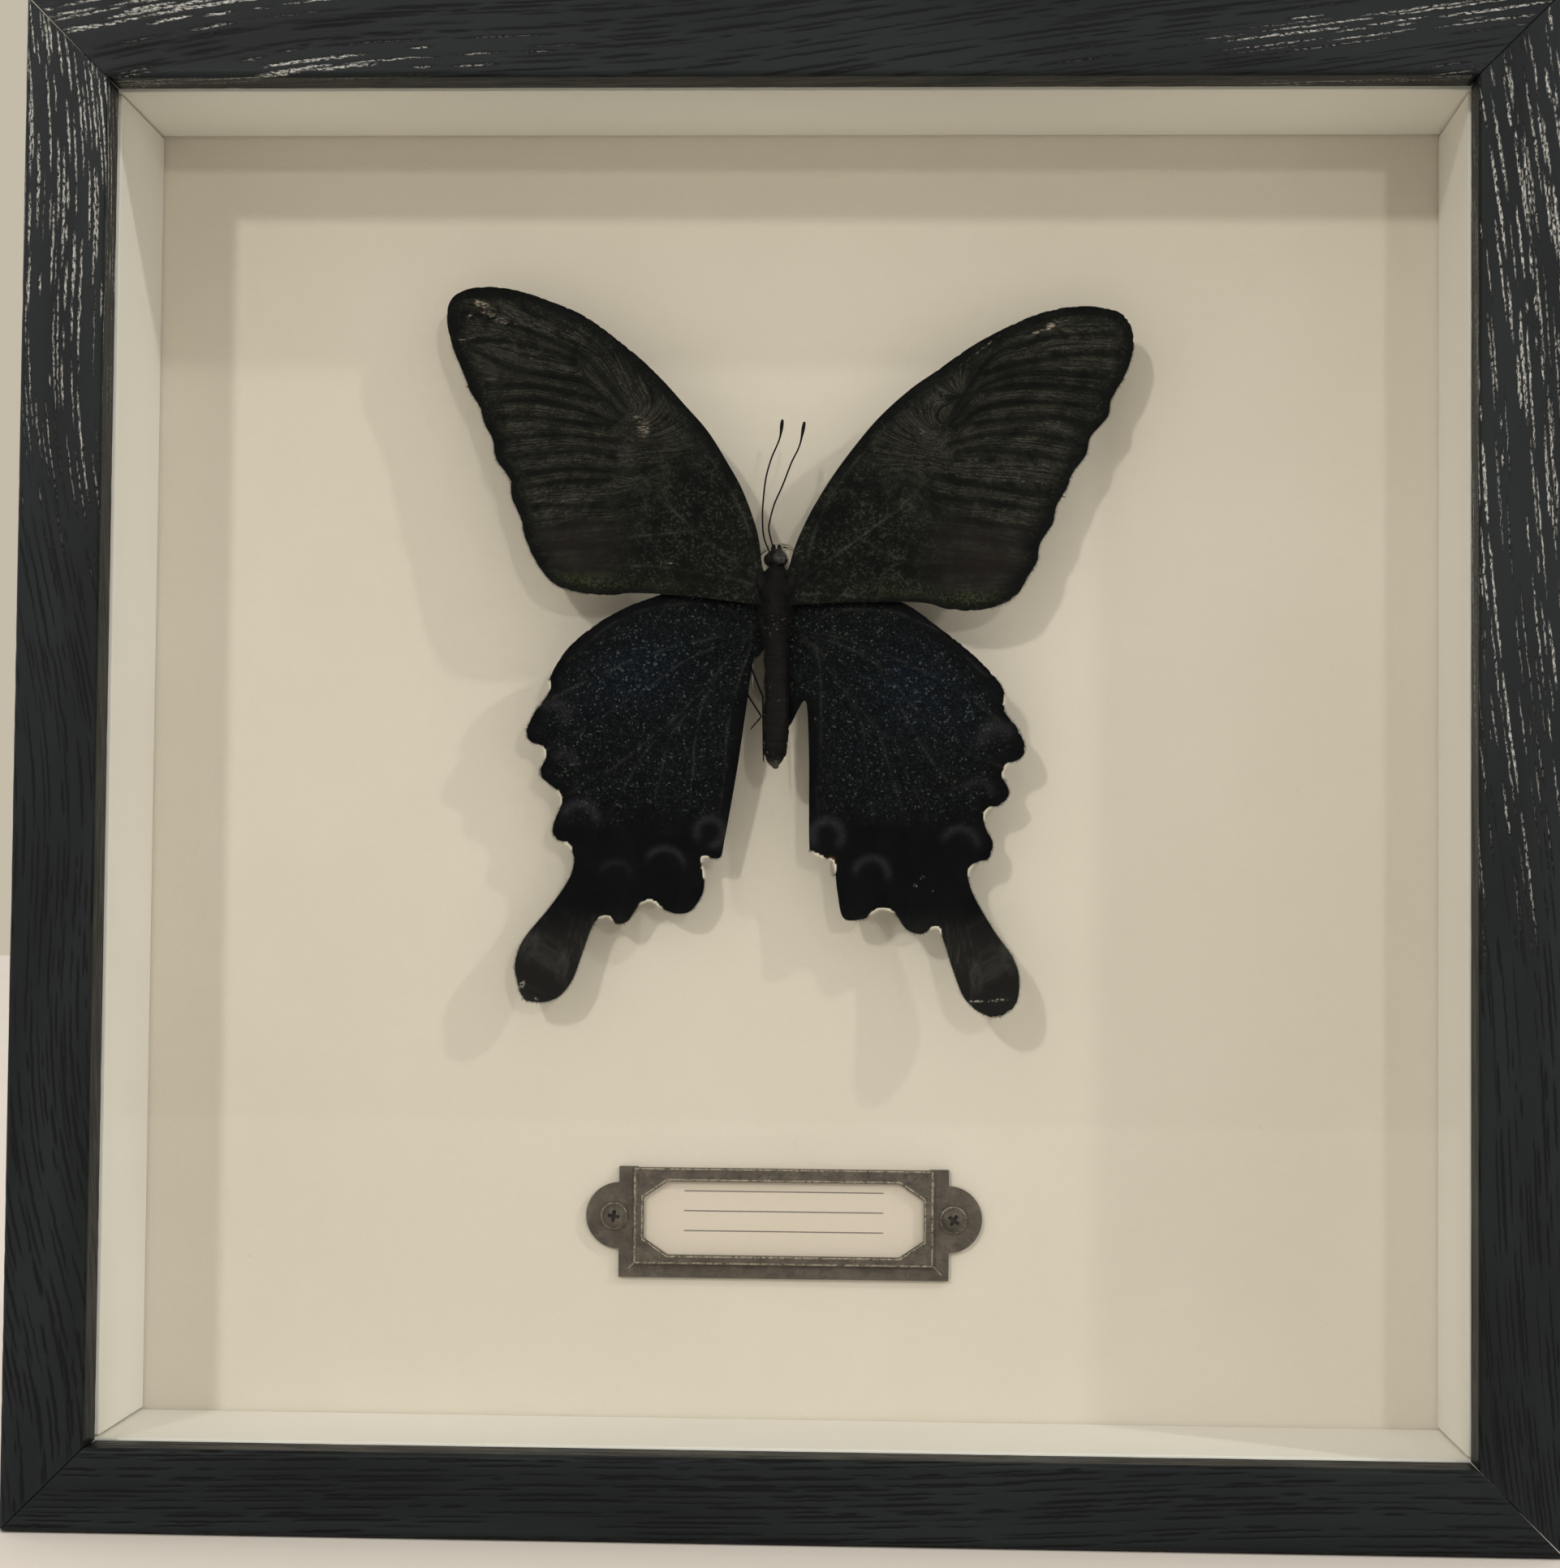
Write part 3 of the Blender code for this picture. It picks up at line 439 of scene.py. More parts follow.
def wrap_rail(side, quarter, seed, slant, glint_along, ring):
    rows = len(SECTION) - 1
    bpy.ops.mesh.primitive_grid_add(x_subdivisions=ALONG_STEPS, y_subdivisions=rows, size=1)
    rail = settle(f"moulding_{side}")
    flat = points_of(rail)
    i = np.rint((flat[:, 0] + 0.5) * ALONG_STEPS).astype(int)
    j = np.rint((flat[:, 1] + 0.5) * rows).astype(int)
    along, depth, pale = press_pores(seed, slant, glint_along, ring)
    inward, back = (SECTION[j] - SECTION_OUT[j] * (depth[i, j] * PORE_DEPTH)[:, None]).T
    reach = RAIL_LENGTH / 2 - SECTION[j, 0] - MITRE_GAP
    x = along[i] / along[-1] * reach
    y = back + CAD_BOX[0].y
    z = inward - RAIL_LENGTH / 2
    turn = quarter * math.pi / 2
    c, s = round(math.cos(turn)), round(math.sin(turn))
    move_points(rail, np.stack([c * x + s * z, y, CENTRE_Z - s * x + c * z], 1))
    number_points(rail, "pore", depth[i, j])
    # The painted glint's strength goes on each vertex as `glint`.
    number_points(rail, "glint", pale[i, j])
    map_points(rail, "grain", np.stack([x / MM + 300 * seed, SECTION_AT[j] / MM], 1))
    in_edit_mode(
        rail,
        (bpy.ops.mesh.select_all, {"action": "SELECT"}),
        (bpy.ops.mesh.remove_doubles, {"threshold": 2e-6}),
        (bpy.ops.mesh.fill_holes, {"sides": 0}),
        (bpy.ops.mesh.normals_make_consistent, {"inside": False}),
    )
    return finish_piece(rail, BLACK_WOOD, "black_wood", f"frame_rail_{side}", angle=50, soft=True)


for side, settings in RAILS.items():
    wrap_rail(side, *settings)

# %% [markdown]
# The sheets and strips behind the lip are plain boxes on the real object too, so a copy of each CAD solid
# is welded and given the small edge radius that cut glass, card and painted strip have. A sharp edge never
# catches light, and a half-millimetre of bevel is what makes a board look like a board.

# %% Copies of CAD solids with eased edges
def eased_copy(node, name, width_mm, segments=2):
    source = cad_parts[node]
    piece = bpy.data.objects.new(name, source.data.copy())
    bpy.context.scene.collection.objects.link(piece)
    weld(piece)
    in_edit_mode(
        piece,
        (bpy.ops.mesh.select_all, {"action": "SELECT"}),
        (bpy.ops.mesh.dissolve_limited, {"angle_limit": math.radians(0.5)}),
    )
    return apply_modifier(
        piece, "BEVEL", width=width_mm * MM, segments=segments, limit_method="ANGLE", angle_limit=math.radians(40)
    )


# %% [markdown]
# Glass: clear, with a breath of green. Light for the shadows passes straight through, which a Light Path
# switch to a Transparent shader says; without it the pane would black out the lamps behind it. Real glass
# bends light by 1.52. The pane here is given 1.2, which mirrors less, so the dark wings stay readable.

# %% Clear glass and clear bar
def clear_material(name, colour, ior):
    material, paint, shader = new_material(name)
    uniform = {"Base Color": colour, "Roughness": 0.0, "Transmission Weight": 1.0, "IOR": ior}
    paint.fill(shader, uniform)
    through = paint.node("ShaderNodeBsdfTransparent", {}, {"Color": colour})
    shadow = paint.node("ShaderNodeLightPath", output="Is Shadow Ray")
    solid = Paint(paint.tree, shader.outputs[0])
    both = paint.node("ShaderNodeMixShader", {}, {0: shadow, 1: solid, 2: through})
    paint.fill(material.node_tree.nodes["Material Output"], {"Surface": both})
    return material


CLEAR_GLASS = clear_material("clear_glass", (0.97, 0.985, 0.975, 1.0), 1.2)
CLEAR_BAR = clear_material("clear_bar", (0.86, 0.85, 0.83, 1.0), 1.49)
finish_piece(eased_copy("glass_pane", "pane", 0.3), CLEAR_GLASS, "clear_glass", "glass_pane")
finish_piece(eased_copy("specimen_bar", "stand_bar", 0.25, 3), CLEAR_BAR, "clear_bar", "specimen_bar")

# %% [markdown]
# The mat is cream board with a slight tooth: short fibres that a raking light picks out, and a warm drift
# of tone. The spacer strips are the same family, sprayed white, a little cooler and smoother, with faint
# marks where a cloth has rubbed them.

# %% Paper and paint
def board_material(name, low, high, fibre_scale, fibre_mm, roughness):
    material, paint, shader = new_material(name)
    place = paint.place()
    fibres = place.stretched((1.0, 1.0, 2.2)).noise(fibre_scale, 4.0, 0.65)
    cross = place.stretched((2.2, 1.0, 1.0)).noise(fibre_scale, 4.0, 0.65)
    cloud = place.noise(0.018, 3.0, 0.55)
    fleck = place.cells(0.42).step(0.05, 0.11, 1.0, 0.0) * place.noise(0.3).step(0.56, 0.66)
    colour = (cloud.step(0.3, 0.7) * 0.7 + fibres * 0.3).mix(low, high)
    colour = (fleck * 0.18).mix(colour, tone(150, 132, 104))
    paint.fill(shader, {
        "Base Color": colour,
        "Roughness": roughness + cross * 0.1,
        "Normal": paint.bump(fibres + cross, fibre_mm),
        "Specular IOR Level": 0.3,
    })
    return material


CREAM_BOARD = board_material("cream_board", tone(215, 208, 193), tone(221, 213, 199), 2.6, 0.03, 0.8)
WHITE_STRIP = board_material("white_strip", tone(236, 233, 224), tone(241, 239, 231), 0.9, 0.02, 0.6)
finish_piece(eased_copy("mat_board", "cream_mat", 0.15), CREAM_BOARD, "cream_board", "mat_board")
for side in ("top", "bottom", "left", "right"):
    strip = eased_copy(f"spacer_{side}", f"white_spacer_{side}", 0.25)
    finish_piece(strip, WHITE_STRIP, "white_strip", f"spacer_{side}")

# %% [markdown]
# The back is closed by a sheet of hardboard: pressed wood fibre, brown, mottled, with darker shives. Steel
# tabs hold it, and a zinc plated sawtooth strip hangs the frame. Zinc has a faint spangle, and thin steel
# strip shows the fine lines of the roller it came off.

# %% Hardboard and zinc steel
BROWN_BOARD, board, shader = new_material("brown_hardboard")
place = board.place()
felt = place.noise(1.1, 6.0, 0.7)
shives = place.stretched((0.5, 1.0, 2.4)).noise(1.3, 3.0, 0.6)
colour = felt.step(0.3, 0.72).mix(tone(112, 80, 52), tone(150, 112, 76))
colour = (shives.step(0.6, 0.7) * 0.6).mix(colour, tone(74, 50, 33))
board.fill(shader, {
    "Base Color": colour,
    "Roughness": 0.55 + felt * 0.25,
    "Normal": board.bump(felt + shives * 0.6, 0.06),
})

ZINC_STEEL, steel, shader = new_material("zinc_steel")
place = steel.place()
spangle = place.cells(0.9, "Color").axis(0)
rolled = place.stretched((0.3, 1.0, 6.0)).noise(2.4, 3.0)
steel.fill(shader, {
    "Base Color": (spangle * 0.6 + rolled * 0.4).mix(tone(150, 152, 153), tone(196, 197, 196)),
    "Roughness": 0.28 + spangle * 0.12 + rolled * 0.1,
    "Normal": steel.bump(rolled, 0.02),
    "Metallic": 1.0,
})

finish_piece(eased_copy("back_panel", "hardboard_back", 0.25), BROWN_BOARD, "brown_board", "back_panel")
for node in sorted(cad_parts):
    if node.startswith(("retaining_tab", "sawtooth", "hanger_nail")):
        finish_piece(eased_copy(node, f"steel_{node}", 0.12), ZINC_STEEL, "zinc_steel", node)

# %% [markdown]
# The label holder is pressed from one thin plate: a raised pocket between two round ears, with a window
# whose corners are cut off, a rolled rim round it, and a ridge along the bottom and both sides where the
# press folded the pocket up. It starts as a block and two rods joined by Booleans, and the ridges are
# thin bent rods laid along its edges, so the light finds real edges. Then every edge is eased.

# %% Blocks, rods and Booleans
def block(name, low, high, bevel_mm=0.0):
    """A cube primitive set between two corners, with eased edges if asked."""
    low, high = Vector(low), Vector(high)
    bpy.ops.mesh.primitive_cube_add(size=1, location=(low + high) / 2)
    bpy.context.active_object.scale = high - low
    piece = settle(name)
    if bevel_mm:
        apply_modifier(piece, "BEVEL", width=bevel_mm * MM, segments=2)
    return piece


def rod(name, radius, y_low, y_high, x, z, sides=48):
    bpy.ops.mesh.primitive_cylinder_add(
        vertices=sides, radius=radius, depth=y_high - y_low, location=(x, (y_low + y_high) / 2, z),
        rotation=(math.pi / 2, 0, 0),
    )
    return settle(name)


def prism(name, outline, y_low, y_high):
    """An upright plate with the outline given as (x, z), made from a circle primitive of as many points."""
    bpy.ops.mesh.primitive_circle_add(vertices=len(outline), radius=1, fill_type="NGON")
    plate = settle(name)
    move_points(plate, [(x, y_low, z) for x, z in outline])
    in_edit_mode(
        plate,
        (bpy.ops.mesh.select_all, {"action": "SELECT"}),
        (bpy.ops.mesh.extrude_region_move, {"TRANSFORM_OT_translate": {"value": (0, y_high - y_low, 0)}}),
    )
    face_outwards(plate)
    return plate


def boolean(piece, tool, operation):
    apply_modifier(piece, "BOOLEAN", object=tool, operation=operation, solver="EXACT")
    bpy.data.objects.remove(tool, do_unlink=True)
    return piece


# %% Measures of the holder, read from its solids
PLATE_LOW, PLATE_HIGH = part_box("label_holder")
CARD_LOW, CARD_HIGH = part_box("label_card")
SCREW_LOW, SCREW_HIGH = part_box("label_screw_left")
HOLDER_X = (PLATE_LOW.x + PLATE_HIGH.x) / 2
EAR_Z = (SCREW_LOW.z + SCREW_HIGH.z) / 2
SCREW_HEAD = (SCREW_HIGH.z - SCREW_LOW.z) / 2
EAR_RADIUS = 5 * MM
PLATE_HALF = (PLATE_HIGH.x - PLATE_LOW.x) / 2 - EAR_RADIUS
POCKET_HALF = 22.7 * MM
POCKET_LOW = PLATE_LOW.z + 2.1 * MM
SHEET_METAL = 0.8 * MM
EAR_FRONT = PLATE_HIGH.y - SHEET_METAL
POCKET_FRONT = PLATE_LOW.y
WINDOW_HALF = (21.2 * MM, 5.55 * MM)
WINDOW_CUT = (3.7 * MM, 2.5 * MM)
SCREW_AT = 25.7 * MM
SCREW_HOLE = 1.3 * MM
WINDOW_Z = (PLATE_LOW.z + PLATE_HIGH.z) / 2 + 0.7 * MM
print("holder", [round(v / MM, 1) for v in PLATE_HIGH - PLATE_LOW], "mm")


def octagon(grow):
    """The window's outline, with its corners cut off, grown by a margin."""
    half_x, half_z = WINDOW_HALF[0] + grow, WINDOW_HALF[1] + grow
    cut_x, cut_z = WINDOW_CUT[0] + 0.35 * grow, WINDOW_CUT[1] + 0.25 * grow
    corner = [(half_x, half_z - cut_z), (half_x - cut_x, half_z)]
    right = [(x, -z) for x, z in corner[::-1]] + corner
    loop = right + [(-x, z) for x, z in corner[::-1]] + [(-x, -z) for x, z in corner]
    return [(HOLDER_X + x, WINDOW_Z + z) for x, z in loop]


# %% The pressed plate
def tube(name, path, radii_mm, resolution=2, closed=False):
    """A closed tube through places in the row frame, its radius given at each: a bevelled curve made a mesh."""
    curve = bpy.data.curves.new(name, "CURVE")
    curve.dimensions = "3D"
    curve.bevel_depth = MM
    curve.bevel_resolution = resolution
    curve.use_fill_caps = True
    spline = curve.splines.new("POLY")
    spline.points.add(len(path) - 1)
    for point, place, radius in zip(spline.points, path, radii_mm):
        point.co = (*place, 1)
        point.radius = radius
    spline.use_cyclic_u = closed
    guide = bpy.data.objects.new(name, curve)
    bpy.context.scene.collection.objects.link(guide)
    select_only(guide)
    bpy.ops.object.convert(target="MESH")
    return weld(bpy.context.active_object)


def ridge(name, points, width, height_y):
    """A rolled ridge: a thin rod through (x, z) places on the pocket's front."""
    path = [(x, height_y, z) for x, z in points]
    rod_along = tube(name, path, [width / 2 / MM] * len(path), 3, points[0] == points[-1])
    return number_points(rod_along, "wear", 1.0)


plate = block(
    "pressed_plate",
    (HOLDER_X - PLATE_HALF, EAR_FRONT, PLATE_LOW.z),
    (HOLDER_X + PLATE_HALF, PLATE_HIGH.y, PLATE_HIGH.z),
)
for sign in (-1, 1):
    ear = rod("ear", EAR_RADIUS, EAR_FRONT, PLATE_HIGH.y, HOLDER_X + sign * PLATE_HALF, EAR_Z, 64)
    boolean(plate, ear, "UNION")
pocket = block(
    "pocket",
    (HOLDER_X - POCKET_HALF, POCKET_FRONT, POCKET_LOW),
    (HOLDER_X + POCKET_HALF, PLATE_HIGH.y - 0.1 * MM, PLATE_HIGH.z - 0.05 * MM),
)
boolean(plate, pocket, "UNION")
slot = block(
    "slot",
    (CARD_LOW.x - 0.3 * MM, POCKET_FRONT + SHEET_METAL, CARD_LOW.z - 0.3 * MM),
    (CARD_HIGH.x + 0.3 * MM, PLATE_HIGH.y + MM, PLATE_HIGH.z + MM),
)
boolean(plate, slot, "DIFFERENCE")
boolean(plate, prism("window", octagon(0), POCKET_FRONT - MM, PLATE_HIGH.y + MM), "DIFFERENCE")
for sign in (-1, 1):
    hole = rod("hole", SCREW_HOLE, POCKET_FRONT - MM, PLATE_HIGH.y + MM, HOLDER_X + sign * SCREW_AT, EAR_Z)
    boolean(plate, hole, "DIFFERENCE")
weld(plate)
apply_modifier(plate, "BEVEL", width=0.22 * MM, segments=3, limit_method="ANGLE", angle_limit=math.radians(40))
rim = octagon(0.22 * MM)
fold_x, fold_z, top_z = POCKET_HALF - 0.2 * MM, POCKET_LOW + 0.2 * MM, PLATE_HIGH.z - 0.25 * MM
fold = [(-fold_x, top_z), (-fold_x, fold_z), (fold_x, fold_z), (fold_x, top_z)]
fold = [(HOLDER_X + x, z) for x, z in fold]
ridges = [
    ridge("rim", rim + rim[:1], 0.34 * MM, POCKET_FRONT + 0.08 * MM),
    ridge("fold", fold, 0.5 * MM, POCKET_FRONT + 0.12 * MM),
    ridge("top_edge", [fold[0], fold[-1]], 0.3 * MM, POCKET_FRONT + 0.1 * MM),
]
for sign in (-1, 1):
    corner = [(HOLDER_X + sign * fold_x, fold_z), (HOLDER_X + sign * (fold_x + 1.4 * MM), fold_z - 1.4 * MM)]
    ridges.append(ridge("crease", corner, 0.25 * MM, EAR_FRONT - 0.02 * MM))
plate = join(plate, *ridges)

# %% [markdown]
# Dark bronze is steel or brass with a brown-black lacquer. It is worn through on the rims and ridges, where
# the paler metal shows, and cloudy elsewhere. The ridges carry a number `wear`, so the wear sits where the
# form is high, and the floor of each screw's cross carries a number that paints it near black, as painted
# shade in the recess.

# %% Dark bronze
DARK_BRONZE, bronze, shader = new_material("dark_bronze")
place = bronze.place()
cloud = place.noise(0.45, 4.0, 0.6)
rub = place.noise(2.3, 5.0, 0.75)
brush = place.stretched((0.3, 1.0, 3.0)).noise(2.0, 3.0)
worn = bronze.attribute("wear") * rub.step(0.38, 0.60)
spots = rub.step(0.60, 0.70) * cloud.step(0.42, 0.55)
colour = (cloud * 0.7 + brush * 0.3).step(0.3, 0.7).mix(tone(58, 52, 45), tone(99, 90, 79))
colour = rub.step(0.50, 0.38, 0.0, 0.6).mix(colour, tone(34, 31, 27))
colour = (spots * 0.35).mix(colour, tone(122, 112, 97))
colour = (worn * 0.75).mix(colour, tone(186, 176, 156))
# Painted shade: the floor of each screw's cross is painted near black.
colour = (bronze.attribute("recess_shade") * 0.85).mix(colour, tone(14, 13, 12))
bronze.fill(shader, {
    "Base Color": colour,
    "Metallic": 0.35 + worn * 0.3,
    "Roughness": 0.42 + cloud * 0.18 - worn * 0.1,
    "Normal": bronze.bump(rub * 0.6 + brush * 0.4, 0.05),
    "Specular IOR Level": 0.35,
})
finish_piece(plate, DARK_BRONZE, "dark_bronze", "label_holder", angle=40)

# %% [markdown]
# A small cross-head screw: a low dome with a flat ring round its foot and a tapered cross. The dome starts
# as a sphere, bisected at its foot and flattened; the cross is two wedges taken away, and the shank is a
# rod. The two are the same screw, each turned by hand to its own angle.

# %% Cross-head screws
def screw(side, angle):
    low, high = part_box(f"label_screw_{side}")
    x, z = (low.x + high.x) / 2, (low.z + high.z) / 2
    foot = EAR_FRONT - 0.3 * MM
    dome = foot - low.y
    bpy.ops.mesh.primitive_uv_sphere_add(segments=48, ring_count=32, radius=1, location=(0, 0, 0))
    head = settle(f"cross_screw_{side}")
    cut = {"plane_co": (0, 0, 0), "plane_no": (0, 1, 0), "use_fill": True, "clear_outer": True}
    in_edit_mode(head, (bpy.ops.mesh.select_all, {"action": "SELECT"}), (bpy.ops.mesh.bisect, cut))
    head.data.transform(Matrix.Translation((x, foot, z)) @ Matrix.Diagonal((SCREW_HEAD, dome, SCREW_HEAD, 1)))
    ring = rod("ring", SCREW_HEAD, foot - 0.28 * MM, foot, x, z)
    boolean(head, ring, "UNION")
    boolean(head, rod("shank", 0.95 * MM, foot - 0.2 * MM, high.y, x, z, 32), "UNION")
    for quarter in (0, 1):
        turn = angle + quarter * math.pi / 2
        wedge = block("wedge", (-1.35 * MM, -1.0 * MM, -0.33 * MM), (1.35 * MM, 1.0 * MM, 0.33 * MM))
        tall = points_of(wedge)
        deep = tall[:, 1] > 0
        tall[deep, 0] *= 0.45
        tall[deep, 2] *= 0.7
        move_points(wedge, tall)
        wedge.data.transform(Matrix.Translation((x, low.y, z)) @ Matrix.Rotation(turn, 4, "Y"))
        boolean(head, wedge, "DIFFERENCE")
    weld(head)
    apply_modifier(head, "BEVEL", width=0.07 * MM, segments=2, limit_method="ANGLE", angle_limit=math.radians(35))
    spots = points_of(head)
    near = np.hypot(spots[:, 0] - x, spots[:, 2] - z) < 1.45 * MM
    # Mark the floor of the cross for its painted shade.
    number_points(head, "recess_shade", near & (spots[:, 1] > low.y + 0.3 * MM))
    bpy.ops.mesh.primitive_torus_add(
        location=(x, foot - 0.25 * MM, z), rotation=(math.pi / 2, 0, 0), major_segments=64, minor_segments=8,
        major_radius=SCREW_HEAD - 0.2 * MM, minor_radius=0.17 * MM,
    )
    hoop = number_points(settle("hoop"), "wear", 1.0)
    return finish_piece(join(head, hoop), DARK_BRONZE, "dark_bronze", f"label_screw_{side}")


screw("left", math.radians(8))
screw("right", math.radians(36))

# %% [markdown]
# The card in the holder stays blank apart from three ruled hairlines. Card is cut from a sheet, so it gets
# a very small edge and a soft fibre.

# %% Blank ruled card
CARD_STOCK, card, shader = new_material("card_stock")
place = card.place()
height = place.axis(2)
fibres = place.noise(3.0, 4.0, 0.6)
card_middle = (CARD_LOW.z + CARD_HIGH.z) / 2 / MM
lines = [card.math("ABSOLUTE", height - (card_middle + up)).step(0.06, 0.14, 1.0, 0.0) for up in (3.1, 0.1, -2.9)]
rules = lines[0].most(lines[1]).most(lines[2])
inside = card.math("ABSOLUTE", place.axis(0) - HOLDER_X / MM).step(15.0, 15.2, 1.0, 0.0)
colour = fibres.mix(tone(206, 194, 178), tone(217, 206, 190))
colour = (rules * inside * fibres.step(0.2, 0.5, 0.5, 0.9)).mix(colour, tone(96, 88, 82))
card.fill(shader, {"Base Color": colour, "Roughness": 0.75, "Normal": card.bump(fibres, 0.02)})
finish_piece(eased_copy("label_card", "ruled_card", 0.06), CARD_STOCK, "card_stock", "label_card")

# %% [markdown]
# ## The swallowtail
#
# The butterfly is thin, soft and irregular, so it is drawn rather than machined. Outlines, veins and folds
# are short lists of places, as (x, z) in millimetres from the middle of the opening, and a smooth curve is
# run through each. Everything else, such as how far a point lies from a vein or from the edge, is worked out
# from those lists.

# %% Curves through places
def smooth_path(points, spacing=0.4, closed=False):
    """A Catmull-Rom curve through the points, at about one point per spacing."""
    p = np.array(points, float)
    if closed:
        before, after, beyond = np.roll(p, 1, 0), np.roll(p, -1, 0), np.roll(p, -2, 0)
    else:
        padded = np.vstack([2 * p[0] - p[1], p, 2 * p[-1] - p[-2]])
        before, p, after, beyond = padded[:-3], padded[1:-2], padded[2:-1], padded[3:]
    path = []
    for a, b, c, d in zip(before, p, after, beyond):
        count = max(2, round(np.linalg.norm(c - b) / spacing))
        t = np.linspace(0, 1, count, endpoint=False)[:, None]
        square, cube = 2 * a - 5 * b + 4 * c - d, 3 * b - a - 3 * c + d
        path.append(0.5 * (2 * b + (c - a) * t + square * t ** 2 + cube * t ** 3))
    path = np.vstack(path)
    return path if closed else np.vstack([path, after[-1]])


def nearest(points, path, closed=False):
    """Least distance from each point to a path, and the place on the path."""
    stops = np.roll(path, -1, 0) if closed else path[1:]
    best = np.full(len(points), 1e9)
    where = np.zeros((len(points), 2))
    for start, stop in zip(path, stops):
        step = stop - start
        share = np.clip(((points - start) @ step) / max(step @ step, 1e-12), 0, 1)
        spot = start + share[:, None] * step
        away = np.linalg.norm(points - spot, axis=1)
        closer = away < best
        best[closer] = away[closer]
        where[closer] = spot[closer]
    return best, where


def within(points, loop):
    """Which points lie inside a closed loop."""
    x, z = points.T
    odd = np.zeros(len(points), bool)
    for (x0, z0), (x1, z1) in zip(loop, np.roll(loop, -1, 0)):
        if z0 != z1:
            odd ^= ((z0 > z) != (z1 > z)) & (x < x0 + (z - z0) * (x1 - x0) / (z1 - z0))
    return odd


def ripple(points, seed, scale):
    """Smooth noise between about -1 and 1 over (x, z) places, with features about scale across."""
    draw = np.random.default_rng(seed)
    total = np.zeros(len(points))
    for _ in range(7):
        turn, rate = draw.uniform(0, 2 * math.pi), draw.uniform(0.6, 1.6) * 2 * math.pi / scale
        total += np.sin(points @ (rate * math.cos(turn), rate * math.sin(turn)) + draw.uniform(0, 7))
    return total / 3.2


# %% [markdown]
# The wings are not set flat: the forewings fall away from the body towards their tips, and the hindwings
# droop towards their hind edge and curl up again along the tails, the right one more. Slopes and a curl say
# that, and the shadows on the mat depend on it.

# %% How high the wings stand off the mat
BODY_X = -1.95
FORE_ROOT_HEIGHT, FORE_ROOT_Z = 12.6, 27.0
HIND_ROOT_HEIGHT, HIND_ROOT_Z = 10.6, 20.0
FALL_LEFT, FALL_RIGHT = 0.12, 0.085
CURL_LEFT, CURL_RIGHT, CURL_Z = 1.5, 4.5, -16.0


def fore_height(x, z):
    return FORE_ROOT_HEIGHT - 3.8 * (0.76 * np.abs(x - BODY_X) + 0.65 * (z - FORE_ROOT_Z)) / 66.0


def hind_height(x, z):
    left = x < BODY_X
    fall = np.clip(HIND_ROOT_Z - z, 0, 32) * np.where(left, FALL_LEFT, FALL_RIGHT)
    curl = np.clip((CURL_Z - z) / 20.0, 0, 1) ** 2 * np.where(left, CURL_LEFT, CURL_RIGHT)
    return HIND_ROOT_HEIGHT - fall + curl


